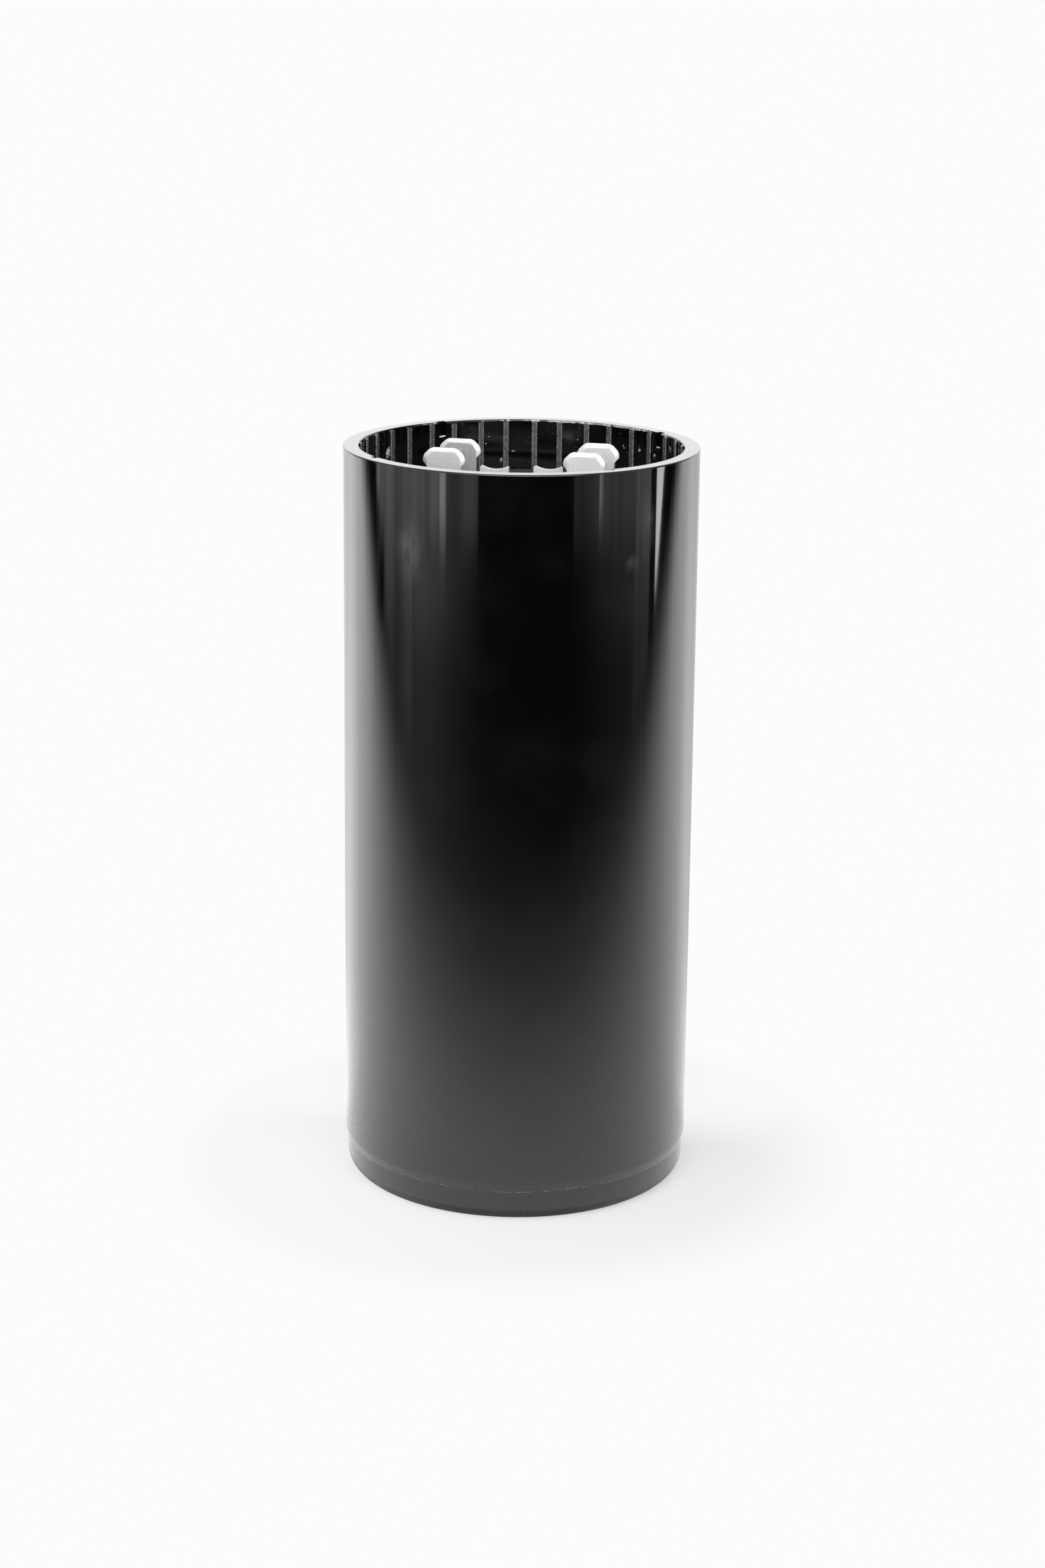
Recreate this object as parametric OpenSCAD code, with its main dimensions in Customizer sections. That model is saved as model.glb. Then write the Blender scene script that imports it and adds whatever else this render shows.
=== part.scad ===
// Motor start capacitor: a moulded cup with a ribbed rim, a sealed header with
// two riveted double-blade terminals, and a foil and paper winding inside.
// The origin is the centre of the base, +Z runs up the case, and the two
// terminals stand side by side along X.

/* [Case] */
// Outer diameter of the case
case_d = 52.4; // [47:0.2:70]
// Overall height of the case
case_h = 112; // [95:1:150]
// Wall thickness of the rim around the terminals
rim_wall = 2.3; // [1.8:0.1:3]
// Wall thickness below the header seat
body_wall = 3.8; // [3.6:0.1:5]
// Thickness of the closed bottom
floor_t = 3.2; // [2:0.1:6]
// Rounding of the outer bottom edge
base_round = 2.5; // [1:0.1:4.5]
// Rounding inside at the bottom of the cavity
cavity_round = 2.5; // [0.5:0.1:4]
// Height of the mould parting line above the base
seam_z = 4.9; // [4.6:0.1:8]
// Step inward below the parting line
seam_step = 0.35; // [0.25:0.05:0.5]
// Ledge of the upper mould half at the parting line
seam_lip = 0.1; // [0.05:0.05:0.2]
// Height of the slope from the ledge out to the wall
seam_rise = 1.2; // [0.4:0.1:2]
// Bevel on the outer edge of the rim
rim_edge_out = 0.2; // [0.1:0.05:0.5]
// Bevel on the inner edge of the rim
rim_edge_in = 0.3; // [0.1:0.05:0.6]

/* [Rim ribs] */
// Pairs of upright ribs around the inside of the rim
rib_pairs = 18; // [6:1:20]
// Angle between the two ribs of a pair
rib_pair_angle = 9.4; // [6:0.1:10]
// Turn of the first pair away from the row of terminals
rib_turn = 15; // [0:1:59]
// Width of a rib
rib_w = 0.75; // [0.5:0.05:1.2]
// How far a rib stands out from the wall
rib_h = 0.3; // [0.1:0.05:0.5]
// Length of the sloped lead-in at the top of a rib
rib_lead = 0.2; // [0.1:0.05:2]

/* [Rim keyways] */
// Keyways cut into the inner edge of the rim
key_count = 4; // [1:1:6]
// Turn of the first keyway away from the row of terminals
key_turn = 45; // [0:1:89]
// Width of a keyway
key_w = 1.3; // [0.8:0.1:2.2]
// How far a keyway reaches into the wall
key_cut = 0.8; // [0.3:0.1:1.4]
// Depth of a keyway below the rim
key_h = 2.3; // [1:0.1:4]

/* [Header] */
// Depth of the recess from the rim down to the header
recess_h = 7.6; // [6:0.1:12]
// Thickness of the header disc
header_t = 2.4; // [1.6:0.1:4]
// Thickness of the rubber gasket under the header
gasket_t = 1.6; // [0.8:0.1:3]
// Clearance between the header or gasket and the ribs
header_fit = 0.05; // [0.02:0.01:0.2]
// Stem diameter of the pressure relief plug
vent_d = 4; // [2:0.1:6]
// Flange diameter of the pressure relief plug
vent_flange_d = 6.5; // [6.4:0.1:9]
// Flange thickness of the pressure relief plug
vent_flange_h = 0.8; // [0.4:0.1:1.5]
// Distance of the pressure relief plug from the axis
vent_y = 12; // [10:0.5:14]
// Clearance between the plug stem and its holes
vent_fit = 0.05; // [0.02:0.01:0.2]

/* [Terminals] */
// Distance between the two terminals along their row
terminal_pitch = 20.6; // [19:0.1:23]
// How far each terminal sits off the row line, to opposite sides
terminal_skew = 1; // [0:0.1:2]
// Sheet thickness of a terminal
sheet_t = 0.8; // [0.5:0.05:1]
// Inner radius of the bends in the sheet
bend_r = 0.5; // [0.2:0.05:0.8]
// Distance between the two blades of a terminal, middle to middle
blade_pitch = 8.7; // [8.4:0.1:11]
// Width of a blade at its head
blade_w = 6.35; // [5.6:0.05:7]
// Width of a blade at its neck
neck_w = 5; // [4.4:0.1:5.1]
// Gap from the tip of a blade up to the plane of the rim
tip_below_rim = 0.15; // [0:0.05:1]
// Size of the cut corners at the tip
blade_corner = 1.2; // [0.6:0.1:1.8]
// Straight side of the head below the cut corners
head_side = 0.85; // [0.3:0.05:2]
// Height of the slope from the head in to the neck
neck_slope = 0.7; // [0.4:0.05:1.5]
// Width of the coined bevel along the edges of the head
tip_bevel = 0.6; // [0.2:0.05:0.6]
// Depth of the coined bevel into the sheet
tip_bevel_t = 0.22; // [0.05:0.01:0.24]
// Width of the base plate under the rivet
plate_w = 6.35; // [6.3:0.05:7.5]

/* [Resistor tabs] */
// Width of the upturned tab for a bleed resistor
tab_w = 4.3; // [3:0.1:4.6]
// Height of the tab above the header
tab_h = 4.4; // [3:0.1:5.5]
// Distance from the rivet to the middle of the tab
tab_x = 6.5; // [6.4:0.1:7]
// Length of the ear that carries the tab
ear_l = 3.4; // [2.6:0.1:4]
// Depth of the hollow in the top of the tab
tab_dip = 0.45; // [0.2:0.05:0.8]
// Rounding of the two corners of the tab
tab_corner = 0.25; // [0.2:0.05:0.8]

/* [Rivets] */
// Shank diameter of a rivet
rivet_d = 4; // [3:0.1:4.4]
// Diameter of the domed head
rivet_head_d = 6.2; // [5:0.1:6.3]
// Height of the domed head
rivet_head_h = 1.1; // [0.6:0.1:1.8]
// Diameter of the clinched end
clinch_d = 5.6; // [5:0.1:7]
// Height of the clinched end
clinch_h = 0.9; // [0.5:0.1:1.5]
// Clearance between a rivet shank and its holes
rivet_fit = 0.05; // [0.02:0.01:0.2]
// Diameter of the washer under the gasket
washer_d = 9; // [7:0.1:12]
// Thickness of the washer
washer_t = 0.8; // [0.4:0.1:1.5]

/* [Winding] */
// Gap between the winding and the case wall
winding_gap = 1.9; // [1:0.1:3]
// Free height between the winding and the gasket
headspace = 9; // [6:0.5:15]
// Diameter of the hole left by the winding mandrel
mandrel_d = 5; // [3:0.5:8]
// Width of the tape that closes the winding
tape_w = 18; // [8:1:40]
// Thickness of the tape
tape_t = 0.2; // [0.1:0.05:0.4]
// Clearance between the tape and the winding
tape_fit = 0.05; // [0.02:0.01:0.1]
// Thickness of the anchoring compound under the winding
bed_t = 2; // [1:0.1:4]
// Height of the anchoring compound above the floor
bed_h = 9; // [5:0.5:20]
// Clearance around the anchoring compound
bed_fit = 0.05; // [0.02:0.01:0.2]

/* [Lead tabs] */
// Width of a lead tab
lead_w = 5; // [4.6:0.1:6.5]
// Thickness of a lead tab
lead_t = 0.25; // [0.15:0.05:0.5]
// Inner radius of the bend in a lead tab
lead_bend = 1; // [0.5:0.1:2]
// Distance from the rivet to the upright leg of a lead tab
lead_reach = 6; // [5.5:0.1:7]
// Length of a lead tab past the rivet
lead_end = 3; // [2.4:0.1:4]

/* [Hidden] */
$fn = 96;

case_r = case_d / 2;
base_r = case_r - seam_step;
rim_r = case_r - rim_wall;
rib_r = rim_r - rib_h;
cavity_r = case_r - body_wall;
header_r = rib_r - header_fit;

header_z = case_h - recess_h;
gasket_z = header_z - header_t;
seat_z = gasket_z - gasket_t;
washer_z = seat_z - washer_t;
lead_z = washer_z - lead_t;

blade_h = recess_h - tip_below_rim;
head_h = blade_corner + head_side + neck_slope;

winding_r = cavity_r - winding_gap;
winding_z = floor_t + bed_t;
winding_top = seat_z - headspace;
tape_r = winding_r + tape_fit;
tape_z = (winding_z + bed_h + winding_top - tape_w) / 2;

// Depth by which a joined or cutting shape runs past the face it meets
bite = 0.4;

case_colour = [0.08, 0.08, 0.08];
laminate_colour = [0.2, 0.18, 0.16];
rubber_colour = [0.13, 0.13, 0.14];
tin_colour = [0.82, 0.82, 0.8];
aluminium_colour = [0.75, 0.76, 0.78];
paper_colour = [0.8, 0.74, 0.6];
tape_colour = [0.85, 0.8, 0.45];
compound_colour = [0.1, 0.09, 0.08];

// Half section of a cup-like block whose lower outer corner is rounded
module round_bottom(r, h, corner) {
    square([r - corner, h]);
    translate([0, corner])
        square([r, h - corner]);
    translate([r - corner, corner])
        circle(corner);
}

// Half section of the outside of the case, down to the rounded base
module case_outline() {
    round_bottom(base_r, seam_z, base_round);
    translate([0, seam_z])
        polygon([
            [0, 0],
            [base_r + seam_lip, 0],
            [case_r, seam_rise],
            [case_r, case_h - seam_z - rim_edge_out],
            [case_r - rim_edge_out, case_h - seam_z],
            [0, case_h - seam_z]
        ]);
}

// Half section of the cavity, the header seat and the recess above it
module case_hollow() {
    translate([0, floor_t])
        round_bottom(cavity_r, seat_z - floor_t + bite, cavity_round);
    translate([0, seat_z])
        polygon([
            [0, 0],
            [rim_r, 0],
            [rim_r, case_h - seat_z - rim_edge_in],
            [rim_r + rim_edge_in, case_h - seat_z],
            [rim_r + rim_edge_in, case_h - seat_z + bite],
            [0, case_h - seat_z + bite]
        ]);
}

// One upright rib of the rim on the +X side, from the seat to its lead-in
module rim_rib() {
    rib_top = case_h - rim_edge_in;
    rotate([90, 0, 0])
        linear_extrude(rib_w, center = true)
            polygon([
                [rib_r, seat_z],
                [rim_r + bite, seat_z],
                [rim_r + bite, rib_top],
                [rim_r, rib_top],
                [rib_r, rib_top - rib_lead]
            ]);
}

// One keyway cutter on the +X side, open towards the axis and upwards
module rim_keyway() {
    translate([rib_r - bite, -key_w / 2, case_h - key_h])
        cube([bite + rib_h + key_cut, key_w, key_h + bite]);
}

// Moulded case: one piece with its ribs and keyways
module case() {
    color(case_colour)
        difference() {
            union() {
                rotate_extrude()
                    difference() {
                        intersection() {
                            case_outline();
                            square([case_r, case_h]);
                        }
                        case_hollow();
                    }
                for (pair = [0 : rib_pairs - 1], side = [-1, 1])
                    rotate([0, 0, rib_turn + pair * 360 / rib_pairs + side * rib_pair_angle / 2])
                        rim_rib();
            }
            for (key = [0 : key_count - 1])
                rotate([0, 0, key_turn + key * 360 / key_count])
                    rim_keyway();
        }
}

// Puts children at one terminal (-1 left, 1 right), turned to face the other
module at_terminal(side) {
    turn = side < 0 ? 0 : 180;
    translate([side * terminal_pitch / 2, side * terminal_skew, 0])
        rotate([0, 0, turn])
            children();
}

// Round hole for each rivet through a disc of the given bottom and thickness
module rivet_holes(z, t) {
    for (side = [-1, 1])
        at_terminal(side)
            translate([0, 0, z - bite])
                cylinder(d = rivet_d + 2 * rivet_fit, h = t + 2 * bite);
}

// Round hole for the pressure relief plug
module vent_hole(z, t) {
    translate([0, vent_y, z - bite])
        cylinder(d = vent_d + 2 * vent_fit, h = t + 2 * bite);
}

// Disc between the ribs, pierced for the rivets and the relief plug
module sealing_disc(z, t) {
    difference() {
        translate([0, 0, z])
            cylinder(r = header_r, h = t);
        rivet_holes(z, t);
        vent_hole(z, t);
    }
}

module header() {
    color(laminate_colour)
        sealing_disc(gasket_z, header_t);
}

module gasket() {
    color(rubber_colour)
        sealing_disc(seat_z, gasket_t);
}

// Relief plug: a flange on the header and a stem down through the gasket
module vent_plug() {
    color(rubber_colour)
        translate([0, vent_y, seat_z]) {
            cylinder(d = vent_d, h = header_z - seat_z + bite);
            translate([0, 0, header_z - seat_z])
                cylinder(d = vent_flange_d, h = vent_flange_h);
        }
}

// Section of a sheet that runs out along +X and bends up, outside face at run
module bend_section(run, rise, t, r) {
    outer = r + t;
    square([run - outer, t]);
    translate([run - t, outer])
        square([t, rise - outer]);
    translate([run - outer, outer])
        intersection() {
            difference() {
                circle(outer);
                circle(r);
            }
            translate([0, -outer])
                square(outer);
        }
}

// Face outline of a blade: head with cut corners, slope and neck
module blade_outline() {
    half = blade_w / 2;
    neck = neck_w / 2;
    slope_z = blade_h - head_h;
    corner_z = blade_h - blade_corner;
    polygon([
        [-neck, 0],
        [neck, 0],
        [neck, slope_z],
        [half, slope_z + neck_slope],
        [half, corner_z],
        [half - blade_corner, blade_h],
        [-half + blade_corner, blade_h],
        [-half, corner_z],
        [-half, slope_z + neck_slope],
        [-neck, slope_z]
    ]);
}

// Cutter for the coined bevel along one edge of a blade. The edge faces +Z
// at z = 0, and the face of the sheet lies at y = sheet_t / 2.
module edge_bevel() {
    reach = blade_w;
    translate([-reach, sheet_t / 2, -tip_bevel])
        rotate([atan2(tip_bevel_t, tip_bevel), 0, 0])
            cube([2 * reach, sheet_t, 3 * tip_bevel]);
}

// Bevel cutters on both faces along the five free edges of a blade's head
module head_bevels() {
    side_reach = blade_w / 2;
    corner_reach = side_reach / sqrt(2);
    // Turn of each edge away from the tip, and its distance from the middle of the head
    edges = [
        [-90, side_reach],
        [-45, corner_reach],
        [0, blade_corner],
        [45, corner_reach],
        [90, side_reach]
    ];
    translate([0, 0, blade_h - blade_corner])
        for (edge = edges, face = [0, 180])
            rotate([0, edge[0], 0])
                translate([0, 0, edge[1]])
                    rotate([0, 0, face])
                        edge_bevel();
}

// One leg of a terminal: half of the base run, the bend and the blade on +Y
module terminal_leg() {
    run = (blade_pitch + sheet_t) / 2;
    difference() {
        intersection() {
            rotate([90, 0, 90])
                linear_extrude(blade_w + 2 * bite, center = true)
                    bend_section(run, blade_h, sheet_t, bend_r);
            rotate([90, 0, 0])
                linear_extrude(2 * run + 2 * bite, center = true)
                    blade_outline();
        }
        translate([0, blade_pitch / 2, 0])
            head_bevels();
    }
}

// Outline of the resistor tab: rounded corners and a hollow along the top
module tab_outline() {
    half = tab_w / 2;
    chord = half - tab_corner;
    dip_r = (chord * chord + tab_dip * tab_dip) / (2 * tab_dip);
    difference() {
        union() {
            translate([-half, 0])
                square([tab_w, tab_h - tab_corner]);
            translate([-chord, 0])
                square([2 * chord, tab_h]);
            for (side = [-1, 1])
                translate([side * chord, tab_h - tab_corner])
                    circle(tab_corner);
        }
        translate([0, tab_h - tab_dip + dip_r])
            circle(dip_r);
    }
}

// Ear on the inner side of a terminal, bent up into the resistor tab
module terminal_ear() {
    tab_face = sheet_t / 2;
    ear_end = tab_x + tab_w / 2;
    translate([0, tab_face - ear_l, 0])
        cube([ear_end, ear_l - sheet_t - bend_r, sheet_t]);
    translate([tab_x, tab_face - ear_l, 0])
        intersection() {
            rotate([90, 0, 90])
                linear_extrude(tab_w, center = true)
                    bend_section(ear_l, tab_h, sheet_t, bend_r);
            rotate([90, 0, 0])
                linear_extrude(2 * ear_l + 2 * bite, center = true)
                    tab_outline();
        }
}

// Stamped terminal about its rivet, with its ear towards +X
module terminal() {
    plate_l = blade_pitch - sheet_t - 2 * bend_r;
    difference() {
        union() {
            terminal_leg();
            rotate([0, 0, 180])
                terminal_leg();
            translate([-plate_w / 2, -plate_l / 2, 0])
                cube([plate_w, plate_l, sheet_t]);
            terminal_ear();
        }
        translate([0, 0, -bite])
            cylinder(d = rivet_d + 2 * rivet_fit, h = sheet_t + 2 * bite);
    }
}

module terminal_at(side) {
    color(tin_colour)
        at_terminal(side)
            translate([0, 0, header_z])
                terminal();
}

module terminal_left() {
    terminal_at(-1);
}

module terminal_right() {
    terminal_at(1);
}

// Solid rivet: domed head on the terminal, shank, and clinched end below
module rivet_at(side) {
    head_z = header_z + sheet_t;
    dome_r = (rivet_head_d * rivet_head_d / 4 + rivet_head_h * rivet_head_h) / (2 * rivet_head_h);
    color(aluminium_colour)
        at_terminal(side)
            rotate_extrude() {
                translate([0, head_z])
                    intersection() {
                        translate([0, rivet_head_h - dome_r])
                            circle(dome_r);
                        square([rivet_head_d / 2, rivet_head_h]);
                    }
                translate([0, lead_z - bite])
                    square([rivet_d / 2, head_z - lead_z + 2 * bite]);
                translate([0, lead_z - clinch_h])
                    square([clinch_d / 2, clinch_h]);
            }
}

module rivet_left() {
    rivet_at(-1);
}

module rivet_right() {
    rivet_at(1);
}

module washer_at(side) {
    color(aluminium_colour)
        difference() {
            at_terminal(side)
                translate([0, 0, washer_z])
                    cylinder(d = washer_d, h = washer_t);
            rivet_holes(washer_z, washer_t);
        }
}

module washer_left() {
    washer_at(-1);
}

module washer_right() {
    washer_at(1);
}

// Lead tab: clamped flat under the washer, then bent down to the winding
module lead_tab_at(side) {
    color(aluminium_colour)
        difference() {
            at_terminal(side)
                translate([0, 0, washer_z])
                    rotate([0, 0, 180])
                        mirror([0, 0, 1]) {
                            rotate([90, 0, 90])
                                linear_extrude(lead_w, center = true)
                                    bend_section(lead_reach, washer_z - winding_top, lead_t, lead_bend);
                            translate([-lead_w / 2, -lead_end, 0])
                                cube([lead_w, lead_end, lead_t]);
                        }
            rivet_holes(lead_z, lead_t);
        }
}

module lead_tab_left() {
    lead_tab_at(-1);
}

module lead_tab_right() {
    lead_tab_at(1);
}

// Wound foil and paper element with the hole of the mandrel
module winding() {
    color(paper_colour)
        translate([0, 0, winding_z])
            difference() {
                cylinder(r = winding_r, h = winding_top - winding_z);
                translate([0, 0, -bite])
                    cylinder(d = mandrel_d, h = winding_top - winding_z + 2 * bite);
            }
}

// Closing tape round the middle of the winding
module winding_tape() {
    color(tape_colour)
        translate([0, 0, tape_z])
            difference() {
                cylinder(r = tape_r + tape_t, h = tape_w);
                translate([0, 0, -bite])
                    cylinder(r = tape_r, h = tape_w + 2 * bite);
            }
}

// Poured compound that anchors the foot of the winding in the case
module anchor_compound() {
    color(compound_colour)
        translate([0, 0, floor_t])
            rotate_extrude()
                difference() {
                    intersection() {
                        round_bottom(cavity_r - bed_fit, bed_h, cavity_round);
                        square([cavity_r, bed_h]);
                    }
                    translate([0, bed_t])
                        square([winding_r + bed_fit, bed_h]);
                }
}

case();
header();
gasket();
vent_plug();
terminal_left();
terminal_right();
rivet_left();
rivet_right();
washer_left();
washer_right();
lead_tab_left();
lead_tab_right();
winding();
winding_tape();
anchor_compound();
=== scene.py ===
"""Dresses the motor start capacitor: a fine moulded case, softened metal parts, finishes and a studio.

Lengths are in metres in the part's own frame: the origin is the centre of the base and +Z runs up the case.
"""

import logging
import math
import random
from dataclasses import dataclass, replace
from enum import Enum

import bmesh
import bpy
from mathutils import Matrix, Vector, noise


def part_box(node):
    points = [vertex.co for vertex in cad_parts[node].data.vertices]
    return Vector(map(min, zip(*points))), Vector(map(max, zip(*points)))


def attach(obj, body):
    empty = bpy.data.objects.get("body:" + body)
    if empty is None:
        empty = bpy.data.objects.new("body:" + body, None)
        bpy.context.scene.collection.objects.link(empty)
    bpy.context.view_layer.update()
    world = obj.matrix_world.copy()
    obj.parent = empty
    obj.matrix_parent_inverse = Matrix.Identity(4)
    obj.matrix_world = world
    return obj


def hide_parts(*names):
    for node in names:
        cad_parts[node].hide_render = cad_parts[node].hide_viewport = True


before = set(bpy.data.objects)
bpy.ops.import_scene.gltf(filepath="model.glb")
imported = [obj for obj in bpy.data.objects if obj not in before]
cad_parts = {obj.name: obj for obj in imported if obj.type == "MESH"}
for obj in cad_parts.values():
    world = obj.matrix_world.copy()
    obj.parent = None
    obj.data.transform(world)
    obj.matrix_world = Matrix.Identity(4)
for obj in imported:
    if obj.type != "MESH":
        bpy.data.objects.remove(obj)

MM = 0.001
ROOT = "root"
STUDIO_TURN = math.radians(14.4)
SEED = 7
FULL_TURN = 360.0
SOFT_SPAN = (0.3, 0.7)
Span = tuple[float, float]
Triple = tuple[float, float, float]
Colour = tuple[float, float, float, float]
Socket = bpy.types.NodeSocket
Shape = bmesh.types.BMesh
log = logging.getLogger("capacitor")


class Side(Enum):
    """The two terminals, named as the part's nodes name them."""

    LEFT = "left"
    RIGHT = "right"


class Zone(Enum):
    """Zones of the case that carry a finish of their own, in the order of its material slots."""

    MOULDED = 0
    RUBBED = 1
    RIB_EDGE = 2
    TRIMMED = 3
    CHIP_AND_GLINT = 4


class Mark(Enum):
    """Kinds of small marks that handling left on the inner wall of the rim."""

    SPECK = "speck"
    DASH = "dash"
    HAIR = "hair"
    CROSS = "cross"
    DUST = "dust"
    CRUST = "crust"


class NodeBench:
    """A node tree being filled, with short calls for the nodes that the finishes share."""

    def __init__(self, tree: bpy.types.NodeTree) -> None:
        """Takes over a node tree and empties it."""
        self.tree = tree
        self.tree.nodes.clear()

    def add(self, kind: str, **settings: object) -> bpy.types.Node:
        """Adds one node and sets its properties.

        Args:
            kind: the node's type name.
            settings: property names with their values.

        Returns:
            The new node.
        """
        node = self.tree.nodes.new(kind)
        for name, value in settings.items():
            setattr(node, name, value)
        return node

    def feed(self, socket: Socket, value: object) -> None:
        """Links an output to a socket, or sets the socket to a constant.

        Args:
            socket: the input to fill.
            value: an output socket, a number or a tuple.
        """
        if isinstance(value, Socket):
            self.tree.links.new(value, socket)
        else:
            socket.default_value = value

    def plain(self, kind: str, **inputs: object) -> Socket:
        """Adds one shader and fills some of its inputs.

        Args:
            kind: the node's type name.
            inputs: names of inputs with what they take.

        Returns:
            The shader's output.
        """
        node = self.add(kind)
        for name, value in inputs.items():
            self.feed(node.inputs[name], value)
        return node.outputs[0]

    def show(self, surface: Socket, kind: str = "ShaderNodeOutputMaterial") -> None:
        """Makes a shader the one that the material, or the given kind of output, shows."""
        self.feed(self.add(kind).inputs["Surface"], surface)

    def place(self) -> Socket:
        """Gives the point on the surface in the part's own frame."""
        return self.add("ShaderNodeTexCoord").outputs["Object"]

    def axes(self, point: Socket) -> bpy.types.Node:
        """Splits a point or a direction along the axes.

        Args:
            point: what to split.

        Returns:
            The node that has its X, Y and Z as outputs.
        """
        split = self.add("ShaderNodeSeparateXYZ")
        self.feed(split.inputs["Vector"], point)
        return split

    def length(self, point: Socket) -> Socket:
        """Gives the distance of a point from the origin.

        Args:
            point: the point.

        Returns:
            Its distance.
        """
        node = self.add("ShaderNodeVectorMath", operation="LENGTH")
        self.feed(node.inputs[0], point)
        return node.outputs["Value"]

    def stretched(self, scale: Triple) -> Socket:
        """Gives the point on the surface with its axes scaled.

        Args:
            scale: factor along each axis.

        Returns:
            The scaled point.
        """
        mapping = self.add("ShaderNodeMapping")
        self.feed(mapping.inputs["Vector"], self.place())
        mapping.inputs["Scale"].default_value = scale
        return mapping.outputs["Vector"]

    def cloud(self, point: Socket, detail: float) -> Socket:
        """Gives a soft noise value around a half.

        Args:
            point: where the noise is read, with one blotch in each unit of length.
            detail: number of finer layers.

        Returns:
            The noise value.
        """
        texture = self.add("ShaderNodeTexNoise")
        self.feed(texture.inputs["Vector"], point)
        texture.inputs["Scale"].default_value = 1.0
        texture.inputs["Detail"].default_value = detail
        return texture.outputs["Fac"]

    def fit(self, value: object, low: float, high: float, to_low: float, to_high: float) -> Socket:
        """Maps a value smoothly from one span to another and holds it there.

        Args:
            value: the value to map.
            low: start of the span it comes from.
            high: end of the span it comes from.
            to_low: value given at low.
            to_high: value given at high.

        Returns:
            The mapped value.
        """
        node = self.add("ShaderNodeMapRange", interpolation_type="SMOOTHSTEP")
        self.feed(node.inputs["Value"], value)
        for name, number in zip(("From Min", "From Max", "To Min", "To Max"), (low, high, to_low, to_high)):
            node.inputs[name].default_value = number
        return node.outputs["Result"]

    def spot(self, middle: Triple, reach: Triple) -> Socket:
        """Gives one in the middle of a soft round spot and nothing past its reach.

        Args:
            middle: the spot's middle.
            reach: its half size along each axis.

        Returns:
            The share of the spot.
        """
        mapping = self.add("ShaderNodeMapping", vector_type="TEXTURE")
        self.feed(mapping.inputs["Vector"], self.place())
        mapping.inputs["Location"].default_value = middle
        mapping.inputs["Scale"].default_value = reach
        return self.fit(self.length(mapping.outputs["Vector"]), 0.0, 1.0, 1.0, 0.0)

    def sum_up(self, operation: str, first: object, second: object = 0.0) -> Socket:
        """Works out one step of arithmetic.

        Args:
            operation: the name of the Math node's operation.
            first: the first value.
            second: the second value.

        Returns:
            The result.
        """
        node = self.add("ShaderNodeMath", operation=operation)
        self.feed(node.inputs[0], first)
        self.feed(node.inputs[1], second)
        return node.outputs[0]

    def times(self, *values: object) -> Socket:
        """Multiplies two or more values.

        Args:
            values: the values, of which the first is a socket.

        Returns:
            Their product.
        """
        product = values[0]
        for value in values[1:]:
            product = self.sum_up("MULTIPLY", product, value)
        return product

    def choose(self, share: object, first: object, second: object) -> Socket:
        """Mixes two shaders.

        Args:
            share: how much of the second shader shows.
            first: a shader.
            second: the other shader.

        Returns:
            The mixed shader.
        """
        node = self.add("ShaderNodeMixShader")
        for index, value in enumerate((share, first, second)):
            self.feed(node.inputs[index], value)
        return node.outputs["Shader"]

    def blend(self, share: object, first: object, second: object) -> Socket:
        """Blends two colours.

        Args:
            share: how much of the second colour shows.
            first: a colour.
            second: the other colour.

        Returns:
            The blended colour.
        """
        node = self.add("ShaderNodeMix", data_type="RGBA")
        self.feed(node.inputs["Factor"], share)
        self.feed(node.inputs["A"], first)
        self.feed(node.inputs["B"], second)
        return node.outputs["Result"]

    def relief(self, height: object, depth: float, under: object = None) -> Socket:
        """Turns a height value into a bumpy normal.

        Args:
            height: the height value.
            depth: metres of relief for a height of one.
            under: a normal that this relief lies on.

        Returns:
            The normal.
        """
        node = self.add("ShaderNodeBump")
        node.inputs["Strength"].default_value = 1.0
        node.inputs["Distance"].default_value = depth
        self.feed(node.inputs["Height"], height)
        if under is not None:
            self.feed(node.inputs["Normal"], under)
        return node.outputs["Normal"]


def grey(level: float) -> Colour:
    """Gives a neutral colour of the given level."""
    return (level, level, level, 1.0)


def blank_material(name: str) -> tuple[bpy.types.Material, NodeBench]:
    """Makes an empty node material.

    Args:
        name: the material's name.

    Returns:
        The material and the bench to fill it.
    """
    material = bpy.data.materials.new(name)
    material.use_nodes = True
    return material, NodeBench(material.node_tree)


def even(count: float) -> Triple:
    """Gives the same count along each axis."""
    return (count, count, count)


@dataclass(frozen=True)
class Grain:
    """An uneven pattern: its blotches in a metre of each axis, its finer layers and the span that counts."""

    counts: Triple
    detail: float = 4.0
    span: Span = SOFT_SPAN

    def read(self, bench: NodeBench) -> Socket:
        """Adds the pattern to a node tree and gives its value."""
        return bench.cloud(bench.stretched(self.counts), self.detail)

    def share(self, bench: NodeBench, least: float = 0.0, most: float = 1.0) -> Socket:
        """Adds the pattern and fits its span to the two given values."""
        return bench.fit(self.read(bench), *self.span, least, most)


@dataclass(frozen=True)
class Finish:
    """A surface finish; each kind fills in its own colour, gloss and relief."""

    name: str

    def make(self) -> bpy.types.Material:
        """Builds the finish as a node material.

        Returns:
            The material.
        """
        material, bench = blank_material(self.name)
        shader = bench.add("ShaderNodeBsdfPrincipled")
        bench.show(shader.outputs["BSDF"])
        self.paint(bench, shader)
        return material

    def paint(self, bench: NodeBench, shader: bpy.types.Node) -> None:
        """Sets the shader's sockets; each kind of finish has its own."""
        raise NotImplementedError(self.name)


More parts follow.
